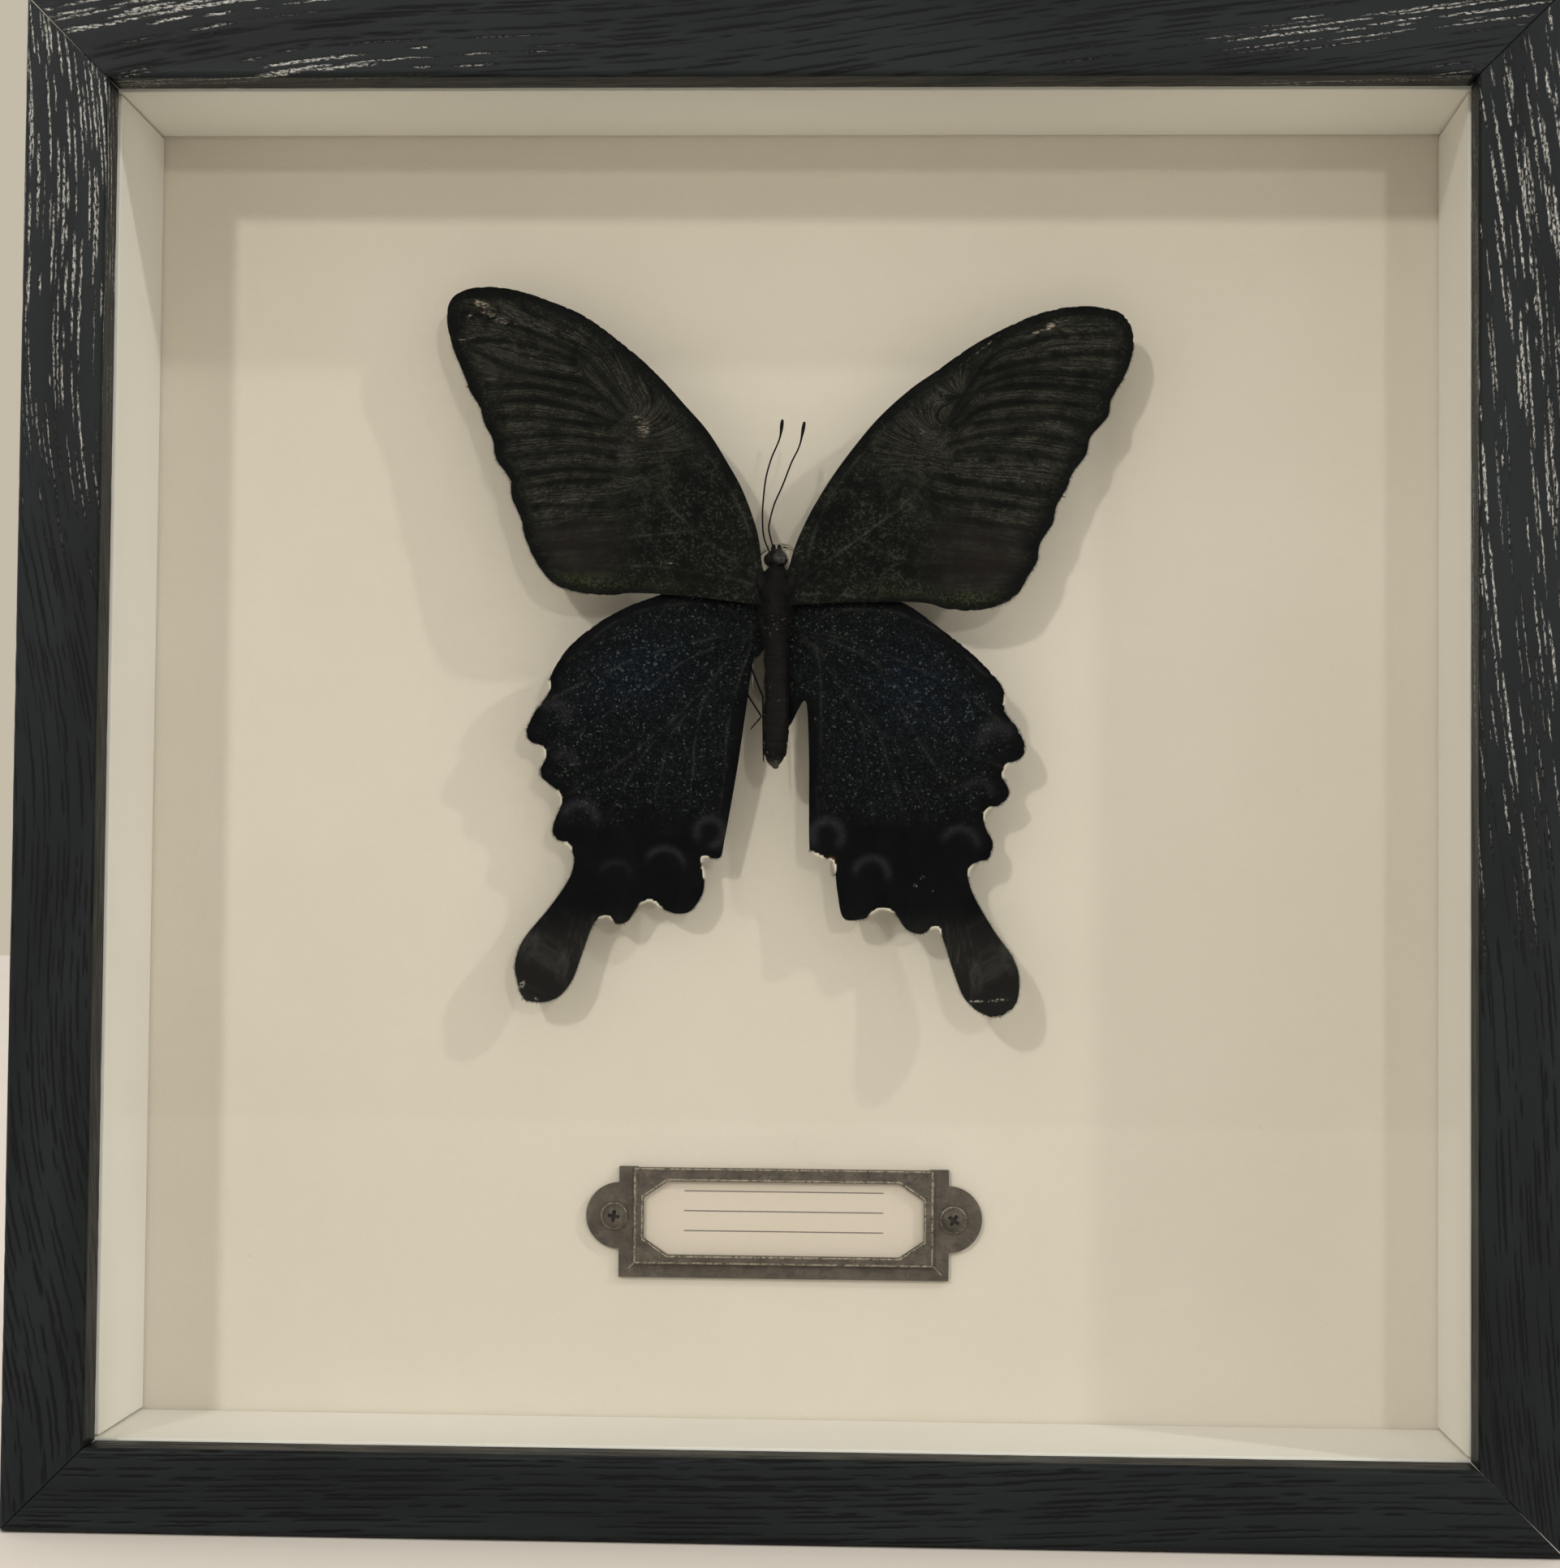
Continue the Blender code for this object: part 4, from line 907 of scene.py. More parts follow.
# %% Outlines
OUTLINES = {
    "forewing_left": [
        (-3.3, 28.4), (-4.0, 30.2), (-4.4, 33.4), (-5.1, 36.4), (-7.0, 41.5), (-9.2, 45.5), (-12.4, 50.6),
        (-16.0, 54.7),
        (-19.8, 58.9), (-24.1, 62.9), (-30.8, 67.9), (-36.4, 70.5), (-41.7, 72.3), (-46.4, 72.9), (-49.9, 72.3),
        (-51.8, 70.8), (-52.3, 67.9), (-51.4, 63.8), (-49.3, 58.7), (-48.6, 56.9), (-47.0, 54.3), (-46.4, 52.1),
        (-44.9, 49.2), (-44.5, 46.6), (-42.3, 43.4), (-41.9, 40.6), (-40.4, 37.2), (-40.0, 35.1), (-38.8, 32.2),
        (-37.3, 29.7), (-35.2, 27.5), (-32.2, 26.4), (-27.5, 25.8), (-22.9, 26.2), (-14.8, 25.7), (-5.1, 24.5),
        (-3.3, 24.3),
    ],
    "forewing_right": [
        (-0.5, 28.4), (0.1, 30.6), (0.7, 32.8), (1.5, 34.9), (3.4, 38.9), (6.4, 43.9), (9.6, 48.4),
        (13.3, 52.9), (17.8, 57.1),
        (21.8, 60.0), (26.6, 63.5), (31.1, 66.1), (36.0, 68.4), (40.4, 69.7), (44.9, 70.0), (48.7, 69.3),
        (50.5, 67.8), (51.3, 65.3), (51.1, 62.7), (49.9, 59.3), (48.0, 55.9), (47.4, 53.2), (44.9, 50.2),
        (44.2, 47.5), (42.2, 44.6), (41.4, 42.4), (39.8, 39.6), (39.3, 37.1), (37.4, 34.0), (37.0, 31.4),
        (35.7, 29.1), (33.9, 26.2), (31.4, 24.7), (27.6, 23.8), (23.5, 24.0), (19.9, 24.9), (10.7, 25.0),
        (1.2, 24.5), (-0.5, 24.3),
    ],
    "hindwing_left": [
        (-3.4, 24.4), (-8.0, 26.0), (-12.5, 27.0), (-17.4, 26.7), (-20.8, 25.6), (-23.8, 24.5), (-28.5, 21.9),
        (-33.1, 18.1),
        (-35.8, 13.9), (-36.1, 11.4), (-38.3, 8.3), (-39.5, 5.3), (-38.7, 3.9), (-37.1, 3.3), (-36.7, 1.4),
        (-37.5, -0.8), (-35.9, -2.5), (-34.7, -3.5), (-34.3, -5.4), (-35.5, -8.6), (-35.2, -10.4),
        (-33.3, -11.5), (-32.3, -13.4), (-32.9, -16.4), (-35.7, -20.7), (-39.6, -25.6), (-40.9, -29.0),
        (-40.7, -31.6), (-39.6, -34.6), (-37.5, -35.2), (-34.6, -34.6), (-32.3, -31.9), (-30.8, -27.7),
        (-29.2, -23.3), (-27.3, -22.2), (-25.7, -23.3), (-24.0, -22.8), (-22.3, -20.4), (-20.5, -19.9),
        (-18.8, -21.0), (-16.6, -21.7), (-14.5, -21.2), (-12.8, -18.6), (-12.6, -15.8), (-12.9, -13.3),
        (-10.3, -13.2), (-9.5, -10.2), (-7.8, -0.6), (-6.7, 6.8), (-5.8, 13.3), (-5.3, 16.2),
        (-4.3, 17.2), (-3.5, 19.0),
    ],
    "hindwing_right": [
        (-0.4, 24.4), (4.0, 25.6), (7.1, 26.4), (12.3, 26.4), (16.6, 25.2), (19.4, 23.6), (21.9, 21.7),
        (26.7, 18.1),
        (30.6, 14.3), (32.2, 11.8), (32.4, 8.8), (34.1, 6.6), (35.4, 3.6), (34.7, 1.9), (32.8, 1.0),
        (32.2, -0.8), (33.1, -3.1), (32.0, -4.9), (29.8, -5.8), (29.5, -8.1), (30.7, -10.7), (30.1, -13.0),
        (28.2, -13.7), (27.1, -15.4), (27.8, -18.4), (30.8, -23.6), (33.8, -27.9), (34.7, -31.2), (34.1, -34.7),
        (31.6, -36.5), (29.2, -36.1), (26.6, -33.9), (24.8, -29.6), (23.6, -25.8), (22.3, -23.4), (20.1, -24.4),
        (17.9, -23.7), (16.2, -21.5), (14.1, -20.7), (12.4, -21.6), (11.5, -22.2), (8.5, -22.2), (7.5, -18.3),
        (6.9, -13.9), (5.4, -13.2), (3.6, -12.2), (3.2, -10.4), (3.1, 1.7), (2.8, 9.0), (2.3, 10.3), (1.3, 8.7),
        (0.2, 6.6), (-0.5, 7.4), (-0.6, 12.0), (-0.4, 18.0),
    ],
}

# %% [markdown]
# Veins are the wing's ribs, hollow tubes that stiffen it. On a swallowtail's forewing a long closed cell
# starts at the root, and veins fan out from its end to the scalloped edge, one to each point. Between two
# veins the membrane is pleated once more, and the scales lie in silky stripes between those folds.

# %% Veins and folds
VEINS = {
    "forewing_left": [
        [
            (-4.9, 30.3), (-6.3, 36.2), (-9.9, 43.3), (-14.8, 50.2), (-21.4, 56.7), (-29.0, 63.0),
            (-34.0, 67.6), (-38.9, 69.6),
        ],
        [
            (-5.2, 28.4), (-6.5, 29.7), (-14.0, 35.5), (-20.6, 41.7), (-23.9, 46.3), (-26.6, 51.2),
            (-24.6, 54.0), (-17.6, 53.4),
        ],
        [(-24.6, 54.0), (-30.6, 61.4), (-35.2, 64.0), (-39.9, 66.0), (-44.5, 67.7), (-49.8, 69.0)],
        [(-25.6, 53.2), (-30.6, 57.7), (-34.8, 58.8), (-41.4, 60.1), (-47.0, 62.6), (-51.2, 64.6)],
        [(-26.4, 52.0), (-33.8, 54.5), (-40.3, 55.5), (-46.9, 54.5)],
        [(-25.4, 49.2), (-28.1, 49.2), (-32.1, 49.9), (-37.0, 50.1), (-44.8, 49.3)],
        [(-22.6, 44.6), (-25.2, 44.6), (-30.4, 44.8), (-34.9, 45.0), (-42.4, 43.9)],
        [(-20.6, 41.7), (-25.4, 39.8), (-30.9, 39.4), (-37.4, 39.3), (-40.8, 38.4)],
        [(-14.0, 35.5), (-23.7, 34.6), (-30.2, 33.9), (-38.9, 32.6)],
        [(-5.2, 27.2), (-7.5, 28.1), (-18.5, 30.0), (-26.9, 30.3), (-37.0, 29.5)],
    ],
    "forewing_right": [
        [
            (1.6, 28.6), (2.7, 31.4), (4.7, 37.8), (8.0, 43.6), (12.0, 48.8), (17.7, 54.6), (27.1, 60.9),
            (33.1, 65.0), (38.2, 67.8), (44.9, 68.9),
        ],
        [
            (1.4, 27.8), (4.1, 30.0), (9.8, 34.1), (15.4, 38.4), (21.1, 44.1), (24.5, 49.6), (23.4, 52.4),
            (15.6, 50.8),
        ],
        [(23.6, 52.4), (29.8, 61.9), (34.8, 64.0), (39.9, 65.4), (48.3, 65.8)],
        [(24.0, 52.0), (29.1, 57.8), (36.5, 59.9), (44.3, 59.6), (49.8, 58.8)],
        [(24.4, 51.2), (29.8, 54.7), (38.9, 55.2), (47.6, 54.5)],
        [(24.0, 48.8), (29.8, 50.3), (36.6, 50.4), (44.6, 49.0)],
        [(21.1, 44.1), (29.9, 42.5), (38.3, 41.5), (41.2, 41.0)],
        [(18.6, 41.6), (23.2, 38.0), (29.9, 37.0), (38.4, 35.4)],
        [(10.4, 34.6), (16.5, 31.5), (26.6, 30.9), (36.6, 30.0)],
        [(1.4, 26.0), (7.5, 26.0), (18.6, 25.6), (34.0, 26.6)],
    ],
    "hindwing_left": [
        [(-5.4, 21.2), (-6.0, 21.7), (-8.2, 23.3), (-10.2, 24.3), (-18.6, 24.4), (-26.0, 22.0), (-33.5, 15.9)],
        [(-5.4, 20.8), (-10.5, 19.7), (-20.0, 17.4), (-27.1, 14.6), (-35.4, 10.6)],
        [(-6.6, 19.5), (-14.5, 16.7), (-21.5, 11.9), (-30.9, 5.9), (-36.6, 2.6)],
        [(-5.4, 20.4), (-9.3, 16.3), (-12.8, 11.9), (-18.3, 6.7), (-26.1, 0.3), (-34.2, -4.4)],
        [(-12.8, 11.9), (-20.6, 3.6), (-24.9, -3.2), (-29.4, -11.5), (-34.0, -22.5), (-37.8, -33.0)],
        [(-12.8, 10.4), (-17.5, 5.2), (-19.8, -3.2), (-23.4, -13.0), (-25.8, -22.2)],
        [(-9.3, 16.3), (-12.8, 10.0), (-14.1, 3.6), (-14.4, -1.5), (-15.6, -12.0), (-16.6, -20.8)],
        [(-5.6, 18.6), (-6.6, 15.9), (-7.7, 12.4), (-9.2, 6.0), (-9.6, -0.5), (-11.0, -12.0)],
    ],
    "hindwing_right": [
        [
            (1.6, 21.0), (2.8, 21.6), (6.7, 23.6), (9.1, 24.0), (15.3, 23.7), (19.0, 22.3), (22.7, 20.4),
            (29.7, 14.0),
        ],
        [(1.8, 20.6), (6.0, 20.0), (13.3, 17.7), (24.0, 12.8), (31.5, 7.6)],
        [(3.6, 20.0), (8.4, 18.4), (13.3, 15.7), (18.7, 9.5), (27.3, 2.6), (32.6, 0.4)],
        [(13.3, 15.7), (20.4, 3.0), (23.5, -1.1), (29.4, -6.4)],
        [
            (1.8, 20.2), (4.7, 17.7), (7.2, 13.2), (13.0, 6.6), (15.9, 4.2), (17.9, -0.7), (23.5, -12.5),
            (28.2, -22.0), (31.8, -33.5),
        ],
        [(7.2, 13.2), (10.9, 7.0), (11.8, -0.4), (13.2, -10.0), (14.2, -20.4)],
        [(13.0, 6.6), (15.0, 1.0), (17.8, -9.0), (20.1, -23.4)],
        [(1.8, 19.4), (4.5, 16.5), (4.8, 2.9), (4.3, -2.9), (5.2, -12.6)],
    ],
}
FOLDS = {
    "forewing_left": [
        [(-32.6, 61.4), (-38.8, 63.4), (-44.4, 64.6), (-51.2, 64.1)],
        [(-28.6, 55.4), (-33.2, 56.4), (-38.1, 57.6), (-42.7, 57.8), (-48.9, 57.5)],
        [(-27.2, 51.5), (-32.1, 52.0), (-39.3, 52.9), (-45.9, 52.7)],
        [(-26.5, 46.6), (-30.4, 47.6), (-36.9, 47.3), (-43.8, 46.3)],
        [(-27.4, 43.2), (-33.6, 43.0), (-39.1, 42.2), (-41.9, 41.2)],
        [(-23.7, 36.8), (-31.9, 36.5), (-39.7, 35.2)],
    ],
    "forewing_right": [
        [(28.4, 59.5), (36.5, 61.6), (43.3, 62.7), (50.6, 62.4)],
        [(23.7, 55.7), (29.8, 57.1), (36.5, 57.9), (48.6, 56.9)],
        [(23.8, 51.6), (29.8, 52.3), (38.2, 53.1), (46.3, 51.4)],
        [(25.1, 47.5), (29.2, 47.9), (36.6, 47.3), (43.6, 46.0)],
        [(21.1, 40.7), (29.9, 40.1), (39.8, 38.5)],
        [(16.5, 35.2), (28.2, 34.6), (37.4, 32.9)],
    ],
    "hindwing_left": [], "hindwing_right": [],
}

# %% [markdown]
# The membrane: a flat grid primitive over each wing, its faces outside the outline deleted, and its rim
# pulled onto the outline. Then every point is lifted to the wing's own height with pleats along veins and
# folds and a slight wave, and Solidify gives it thickness. The rear edge of a dried wing is frayed, so the
# rim is nibbled a little where nothing protects it.

# %% Membranes
GRID_MM = 0.33
WING_THICK = 0.16 * MM


def lift(name, points):
    """Height off the mat of the membrane's middle at (x, z) places, in millimetres."""
    x, z = points.T
    base = (fore_height if name.startswith("forewing") else hind_height)(x, z)
    for path in VEINS[name]:
        away = nearest(points, np.array(path))[0]
        base = base + 0.13 * np.exp(-(away / 0.7) ** 2)
    for path in FOLDS[name]:
        away = nearest(points, np.array(path))[0]
        base = base - 0.10 * np.exp(-(away / 0.6) ** 2)
    away = nearest(points, LOOPS[name], closed=True)[0]
    camber = 0.35 * np.sin(np.clip(away / 14, 0, 1) * math.pi / 2)
    wave = 0.30 * ripple(points, len(name), 22) * np.exp(-away / 9)
    return base + camber - 0.2 + wave


LOOPS = {name: smooth_path(places, 0.35, closed=True) for name, places in OUTLINES.items()}


def stand(name, points, extra=0.0):
    """Places in the row frame for (x, z) millimetres on a wing."""
    high = lift(name, points) + extra
    return np.stack([points[:, 0] * MM, MAT_Y - high * MM, CENTRE_Z + points[:, 1] * MM], 1)


def boundary_of(mesh):
    """Vertices on an edge that only one face uses."""
    edge_of = np.empty(len(mesh.loops), int)
    mesh.loops.foreach_get("edge_index", edge_of)
    ends = np.empty(len(mesh.edges) * 2, int)
    mesh.edges.foreach_get("vertices", ends)
    return np.unique(ends.reshape(-1, 2)[np.bincount(edge_of, minlength=len(mesh.edges)) == 1])


def membrane(name):
    loop = LOOPS[name]
    low, high = loop.min(0) - GRID_MM, loop.max(0) + GRID_MM
    steps = np.ceil((high - low) / GRID_MM).astype(int)
    bpy.ops.mesh.primitive_grid_add(x_subdivisions=int(steps[0]), y_subdivisions=int(steps[1]), size=1)
    sheet = settle(f"{name}_membrane")
    places = low + (points_of(sheet)[:, :2] + 0.5) * (high - low)
    move_points(sheet, np.column_stack([places, np.zeros(len(places))]))
    centres = np.empty(len(sheet.data.polygons) * 3)
    sheet.data.polygons.foreach_get("center", centres)
    pick_faces(sheet, ~within(centres.reshape(-1, 3)[:, :2], loop))
    in_edit_mode(sheet, (bpy.ops.mesh.delete, {"type": "FACE"}))
    places = points_of(sheet)[:, :2]
    rim = boundary_of(sheet.data)
    places[rim] = nearest(places[rim], loop, closed=True)[1]
    fray = np.clip(ripple(places[rim], 5, 1.3), 0, 1) * np.clip((np.abs(places[rim, 0]) - 18) / 8, 0, 1)
    centre = places.mean(0)
    inward = centre - places[rim]
    places[rim] += inward / np.linalg.norm(inward, axis=1)[:, None] * (0.16 * fray)[:, None]
    move_points(sheet, stand(name, places))
    face_outwards(sheet)
    apply_modifier(sheet, "SOLIDIFY", thickness=WING_THICK, offset=0.0)
    return sheet


# %% Vein tubes
def vein_tubes(name):
    tubes = []
    for number, places in enumerate(VEINS[name]):
        path = smooth_path(places, 0.7)
        share = np.linspace(0, 1, len(path))
        radii = 0.12 - 0.05 * share if number else 0.20 - 0.10 * share
        tubes.append(tube("vein", stand(name, path, 0.02), radii, 1))
    return tubes


# %% [markdown]
# Scales stand past the rim of the membrane as a fringe. On this species the fringe is black on the points
# and white in the hollows between them. Each fringe scale is a spike of four faces, a few hundred to a wing,
# and a list says where the white ones are.

# %% Fringe scales
WHITE_HOLLOWS = {
    "forewing_left": [], "forewing_right": [],
    "hindwing_left": [
        (-36.9, 2.3, 1.0), (-34.4, -4.4, 1.2), (-33.2, -11.6, 0.9), (-27.3, -22.2, 1.3), (-20.5, -19.9, 1.9),
        (-12.7, -15.4, 1.0), (-12.7, -13.3, 0.8), (-36.1, 12.4, 0.8),
    ],
    "hindwing_right": [
        (32.4, 0.2, 1.3), (29.7, -6.2, 1.3), (27.2, -14.6, 1.2), (22.4, -23.6, 1.1), (14.1, -20.8, 2.0),
        (6.9, -14.2, 1.2), (4.6, -12.8, 1.2), (32.3, 10.6, 0.8),
    ],
}


def spikes(name, roots, tips, width_mm, seed):
    """Many thin spikes as one mesh: each is a stretched pyramid of four faces."""
    draw = np.random.default_rng(seed)
    count = len(roots)
    reach = tips - roots
    side = np.cross(reach, draw.normal(size=(count, 3)))
    side /= np.linalg.norm(side, axis=1)[:, None]
    other = np.cross(reach, side)
    other /= np.linalg.norm(other, axis=1)[:, None]
    half = width_mm * MM / 2
    corners = [roots + half * (math.cos(t) * side + math.sin(t) * other) for t in (0, 2.094, 4.189)]
    places = np.stack(corners + [tips], 1).reshape(-1, 3)
    base = 4 * np.arange(count)[:, None]
    faces = np.concatenate([base + tri for tri in ((0, 2, 1), (0, 1, 3), (1, 2, 3), (2, 0, 3))])
    mesh = bpy.data.meshes.new(name)
    mesh.from_pydata(places.tolist(), [], faces.tolist())
    piece = bpy.data.objects.new(name, mesh)
    bpy.context.scene.collection.objects.link(piece)
    face_outwards(piece)
    return piece


def fringe(name):
    rim = smooth_path(OUTLINES[name], 0.13, closed=True)
    ahead = np.roll(rim, -1, 0) - np.roll(rim, 1, 0)
    out = np.stack([ahead[:, 1], -ahead[:, 0]], 1)
    out /= np.linalg.norm(out, axis=1)[:, None]
    if within(rim[:1] + 0.2 * out[:1], LOOPS[name])[0]:
        out = -out
    if name.startswith("forewing"):
        outer = (np.abs(rim[:, 0]) > 30) & (rim[:, 1] < 64)
    else:
        outer = (rim[:, 1] < 14) & (np.abs(rim[:, 0]) > 10)
    for x, z, radius in WHITE_HOLLOWS[name]:
        outer |= np.linalg.norm(rim - (x, z), axis=1) < radius + 0.4
    draw = np.random.default_rng(len(name) + 3)
    rim, out = rim[outer], out[outer]
    away = out + draw.normal(0, 0.25, rim.shape)
    length = draw.uniform(0.2, 0.42, len(rim))[:, None]
    roots = stand(name, rim - 0.1 * out)
    tips = stand(name, rim + away * length)
    return spikes("fringe", roots, tips, 0.12, 8)


# %% [markdown]
# Numbers for the painter. On every vertex of a wing these are stored: `rim`, the distance to the outline;
# `vein`, closeness to a vein; `fold`, closeness to a vein or a fold in the outer half; `root`, the distance
# from the wing's root; `worn`, `dust`, `moon`, `spot`, and `white`, which are patches given by the lists
# below. The map `stripes` runs along the folds, so a noise stretched on it becomes silk.

# %% Patches
def patches(points, discs):
    """Soft ellipses, as (x, z, half length, half width, turn in degrees, strength)."""
    total = np.zeros(len(points))
    for x, z, long, wide, turn, strength in discs:
        c, s = math.cos(math.radians(turn)), math.sin(math.radians(turn))
        away = points - (x, z)
        across = ((away @ (c, s)) / long) ** 2 + ((away @ (-s, c)) / wide) ** 2
        total = np.maximum(total, strength * np.exp(-across))
    return total


def crescents(points, arcs):
    """Rings and arcs, as (x, z, radius, half width, middle direction, half opening, strength)."""
    total = np.zeros(len(points))
    for x, z, radius, half, middle, opening, strength in arcs:
        away = points - (x, z)
        turn = np.degrees(np.arctan2(away[:, 1], away[:, 0])) - middle
        off = np.abs((turn + 180) % 360 - 180) - opening
        band = np.exp(-((np.linalg.norm(away, axis=1) - radius) / half) ** 2)
        total = np.maximum(total, strength * band * np.exp(-(np.clip(off, 0, None) / 25) ** 2))
    return total


WORN = {
    "forewing_left": [
        (-47.1, 70.2, 1.6, 0.7, -25, 1.0), (-45.2, 68.4, 2.2, 0.35, -20, 0.9),
        (-43.6, 67.4, 2.6, 0.22, -12, 0.8),
        (-49.0, 64.9, 1.7, 0.14, 10, 0.8), (-22.2, 51.0, 1.5, 1.9, 20, 0.55), (-23.2, 52.9, 0.9, 0.6, 0, 0.5),
        (-17.7, 30.6, 2.3, 0.13, -8, 0.7), (-48.6, 68.6, 0.9, 0.3, 40, 0.8), (-17.4, 42.9, 1.0, 0.5, 60, 0.25),
    ],
    "forewing_right": [
        (38.9, 67.0, 1.3, 0.5, 30, 1.0), (37.0, 66.0, 2.0, 0.25, 24, 0.7), (28.4, 63.2, 4.4, 0.14, 38, 0.7),
        (19.6, 50.6, 0.9, 2.3, -20, 0.35), (45.0, 64.6, 3.4, 2.4, -10, 0.22), (40.6, 67.6, 1.2, 0.2, 10, 0.6),
    ],
    "hindwing_left": [
        (-39.8, -32.6, 0.8, 0.5, 60, 0.8), (-37.8, -34.6, 0.7, 0.3, -20, 0.7),
        (-14.5, 16.7, 5.0, 0.10, 160, 0.4),
    ],
    "hindwing_right": [
        (28.2, -34.2, 1.6, 0.16, 0, 1.0), (31.4, -34.1, 2.0, 0.18, 3, 1.0), (20.2, -16.0, 0.5, 0.25, 30, 0.8),
        (19.2, -17.2, 0.4, 0.25, -20, 0.8), (21.8, -17.9, 0.4, 0.2, 60, 0.7), (4.0, 7.6, 0.7, 0.4, 50, 0.4),
    ],
}
DUST = {
    "forewing_left": [(-30.5, 27.6, 6.0, 1.3, -6, 1.0), (-22.0, 27.2, 7.0, 1.2, 0, 0.5)],
    "forewing_right": [(27.5, 25.4, 6.5, 1.4, 0, 1.0), (18.0, 26.4, 8.0, 1.2, -4, 0.5)],
    "hindwing_left": [
        (-22.2, 14.3, 8.0, 5.6, 25, 1.0), (-29.0, 11.0, 5.0, 5.0, 0, 0.5), (-14.0, 8.0, 8.0, 8.0, 0, 0.22),
    ],
    "hindwing_right": [
        (19.0, 12.2, 7.4, 6.2, -25, 1.0), (25.5, 9.5, 5.0, 5.0, 0, 0.5), (11.5, 7.0, 8.0, 8.0, 0, 0.22),
    ],
}
MOONS = {
    "forewing_left": [], "forewing_right": [],
    "hindwing_left": [
        (-31.5, -7.9, 2.6, 0.75, 80, 60, 0.9), (-11.8, -9.4, 2.0, 0.6, 60, 130, 0.9),
        (-18.6, -14.9, 3.0, 0.5, 78, 50, 0.9),
        (-26.0, -16.4, 2.4, 0.5, 85, 50, 0.45), (-35.3, 8.0, 1.8, 1.0, 60, 70, 0.7),
        (-33.8, 0.6, 1.6, 0.8, 70, 60, 0.6),
    ],
    "hindwing_right": [
        (5.9, -9.8, 2.2, 0.7, 90, 110, 0.9), (12.6, -15.6, 2.5, 0.6, 80, 75, 0.9),
        (25.8, -11.2, 2.6, 0.6, 80, 60, 0.8),
        (28.4, -3.4, 2.0, 0.7, 80, 60, 0.5), (31.2, 4.2, 2.4, 1.0, 110, 60, 0.8),
    ],
}
ORANGE = {"hindwing_right": [(6.5, -13.5, 0.45, 0.4, 0, 0.7)]}


# %% Numbers on a wing's vertices
def number_wing(piece, name):
    every = points_of(piece)
    points = np.stack([every[:, 0] / MM, (every[:, 2] - CENTRE_Z) / MM], 1)
    rim = nearest(points, LOOPS[name], closed=True)[0]
    vein = np.zeros(len(points))
    for path in VEINS[name]:
        vein = np.maximum(vein, np.exp(-(nearest(points, smooth_path(path, 1.0))[0] / 0.17) ** 2))
    fold = np.zeros(len(points))
    level = np.zeros(len(points))
    weight = np.zeros(len(points))
    fans = sorted(VEINS[name][2:] + FOLDS[name], key=lambda path: -path[-1][1])
    for number, path in enumerate(fans):
        away = nearest(points, smooth_path(path, 1.0))[0]
        fold = np.maximum(fold, np.exp(-(away / 0.62) ** 2))
        pull = 1 / (away + 0.25) ** 3
        level += number * pull
        weight += pull
    start = np.array(OUTLINES[name][0])
    root = np.linalg.norm(points - start, axis=1)
    white = np.zeros(len(points))
    for x, z, radius in WHITE_HOLLOWS[name]:
        white = np.maximum(white, np.clip(1.4 - np.linalg.norm(points - (x, z), axis=1) / radius, 0, 1))
    marks = {
        "rim": rim, "vein": vein, "fold": fold, "root": root,
        "white": white * np.where(within(points, LOOPS[name]), np.clip(1.1 - rim / 0.22, 0, 1), 1.0),
        "worn": patches(points, WORN[name]), "dust": patches(points, DUST[name]),
        "moon": crescents(points, MOONS[name]), "spot": patches(points, ORANGE.get(name, [])),
    }
    for key, values in marks.items():
        number_points(piece, key, values)
    map_points(piece, "stripes", np.stack([root, 2.0 * level / weight], 1))


def build_wing(name, material, slot):
    sheet = join(membrane(name), *vein_tubes(name), fringe(name))
    number_wing(sheet, name)
    return finish_piece(sheet, material, slot, name, angle=60, soft=True)


# %% [markdown]
# A forewing is brown-black with a green breath in its inner half, where metallic scales are sprinkled. In
# the outer half silky, paler stripes lie between dark folds. The scales themselves are about a tenth of a
# millimetre wide, so a fine cell pattern gives the sparkle and the grain, and it also lifts a tiny bump.

# %% Forewing scales
FOREWING, fore, shader = new_material("forewing_scales")
place = fore.place()
rim, root = fore.attribute("rim"), fore.attribute("root")
height = place.axis(2) - CENTRE_Z / MM
silk = fore.flow("stripes").stretched((0.10, 3.2, 1.0)).noise(1.0, 4.0, 0.65)
thread = fore.flow("stripes").stretched((0.6, 7.0, 1.0)).noise(1.4, 4.0, 0.7)
scales = place.cells(3.4, "Color").axis(0)
dots = place.cells(5.0, "Color").axis(1)
mottle = place.noise(0.35, 5.0, 0.65)
strokes = place.stretched((0.9, 1.0, 3.4)).noise(1.3, 4.0, 0.75)
outer = root.step(17.0, 30.0) * rim.step(0.8, 3.6)
smooth = (height + mottle * 4.0).step(36.0, 41.0)
stripe = outer * (1 - fore.attribute("fold") * 0.95) * silk.step(0.34, 0.66)
colour = mottle.step(0.35, 0.65).mix(tone(10, 11, 9), tone(17, 18, 15))
olive = scales.step(0.58, 0.95) * (1 - outer) * mottle.step(0.32, 0.58)
colour = (olive * 0.8).mix(colour, tone(49, 52, 44))
colour = (outer * (1 - smooth) * 0.6).mix(colour, tone(35, 31, 28))
fibre = stripe * thread.step(0.35, 0.65) * (0.35 + smooth * 0.65)
colour = (fibre * (0.35 + mottle.step(0.35, 0.6) * 0.65)).mix(colour, tone(77, 75, 65))
colour = (fibre * dots.step(0.75, 1.0) * smooth * 0.7).mix(colour, tone(104, 101, 90))
colour = (fore.attribute("dust") * dots.step(0.3, 0.9) * 0.75).mix(colour, tone(64, 70, 44))
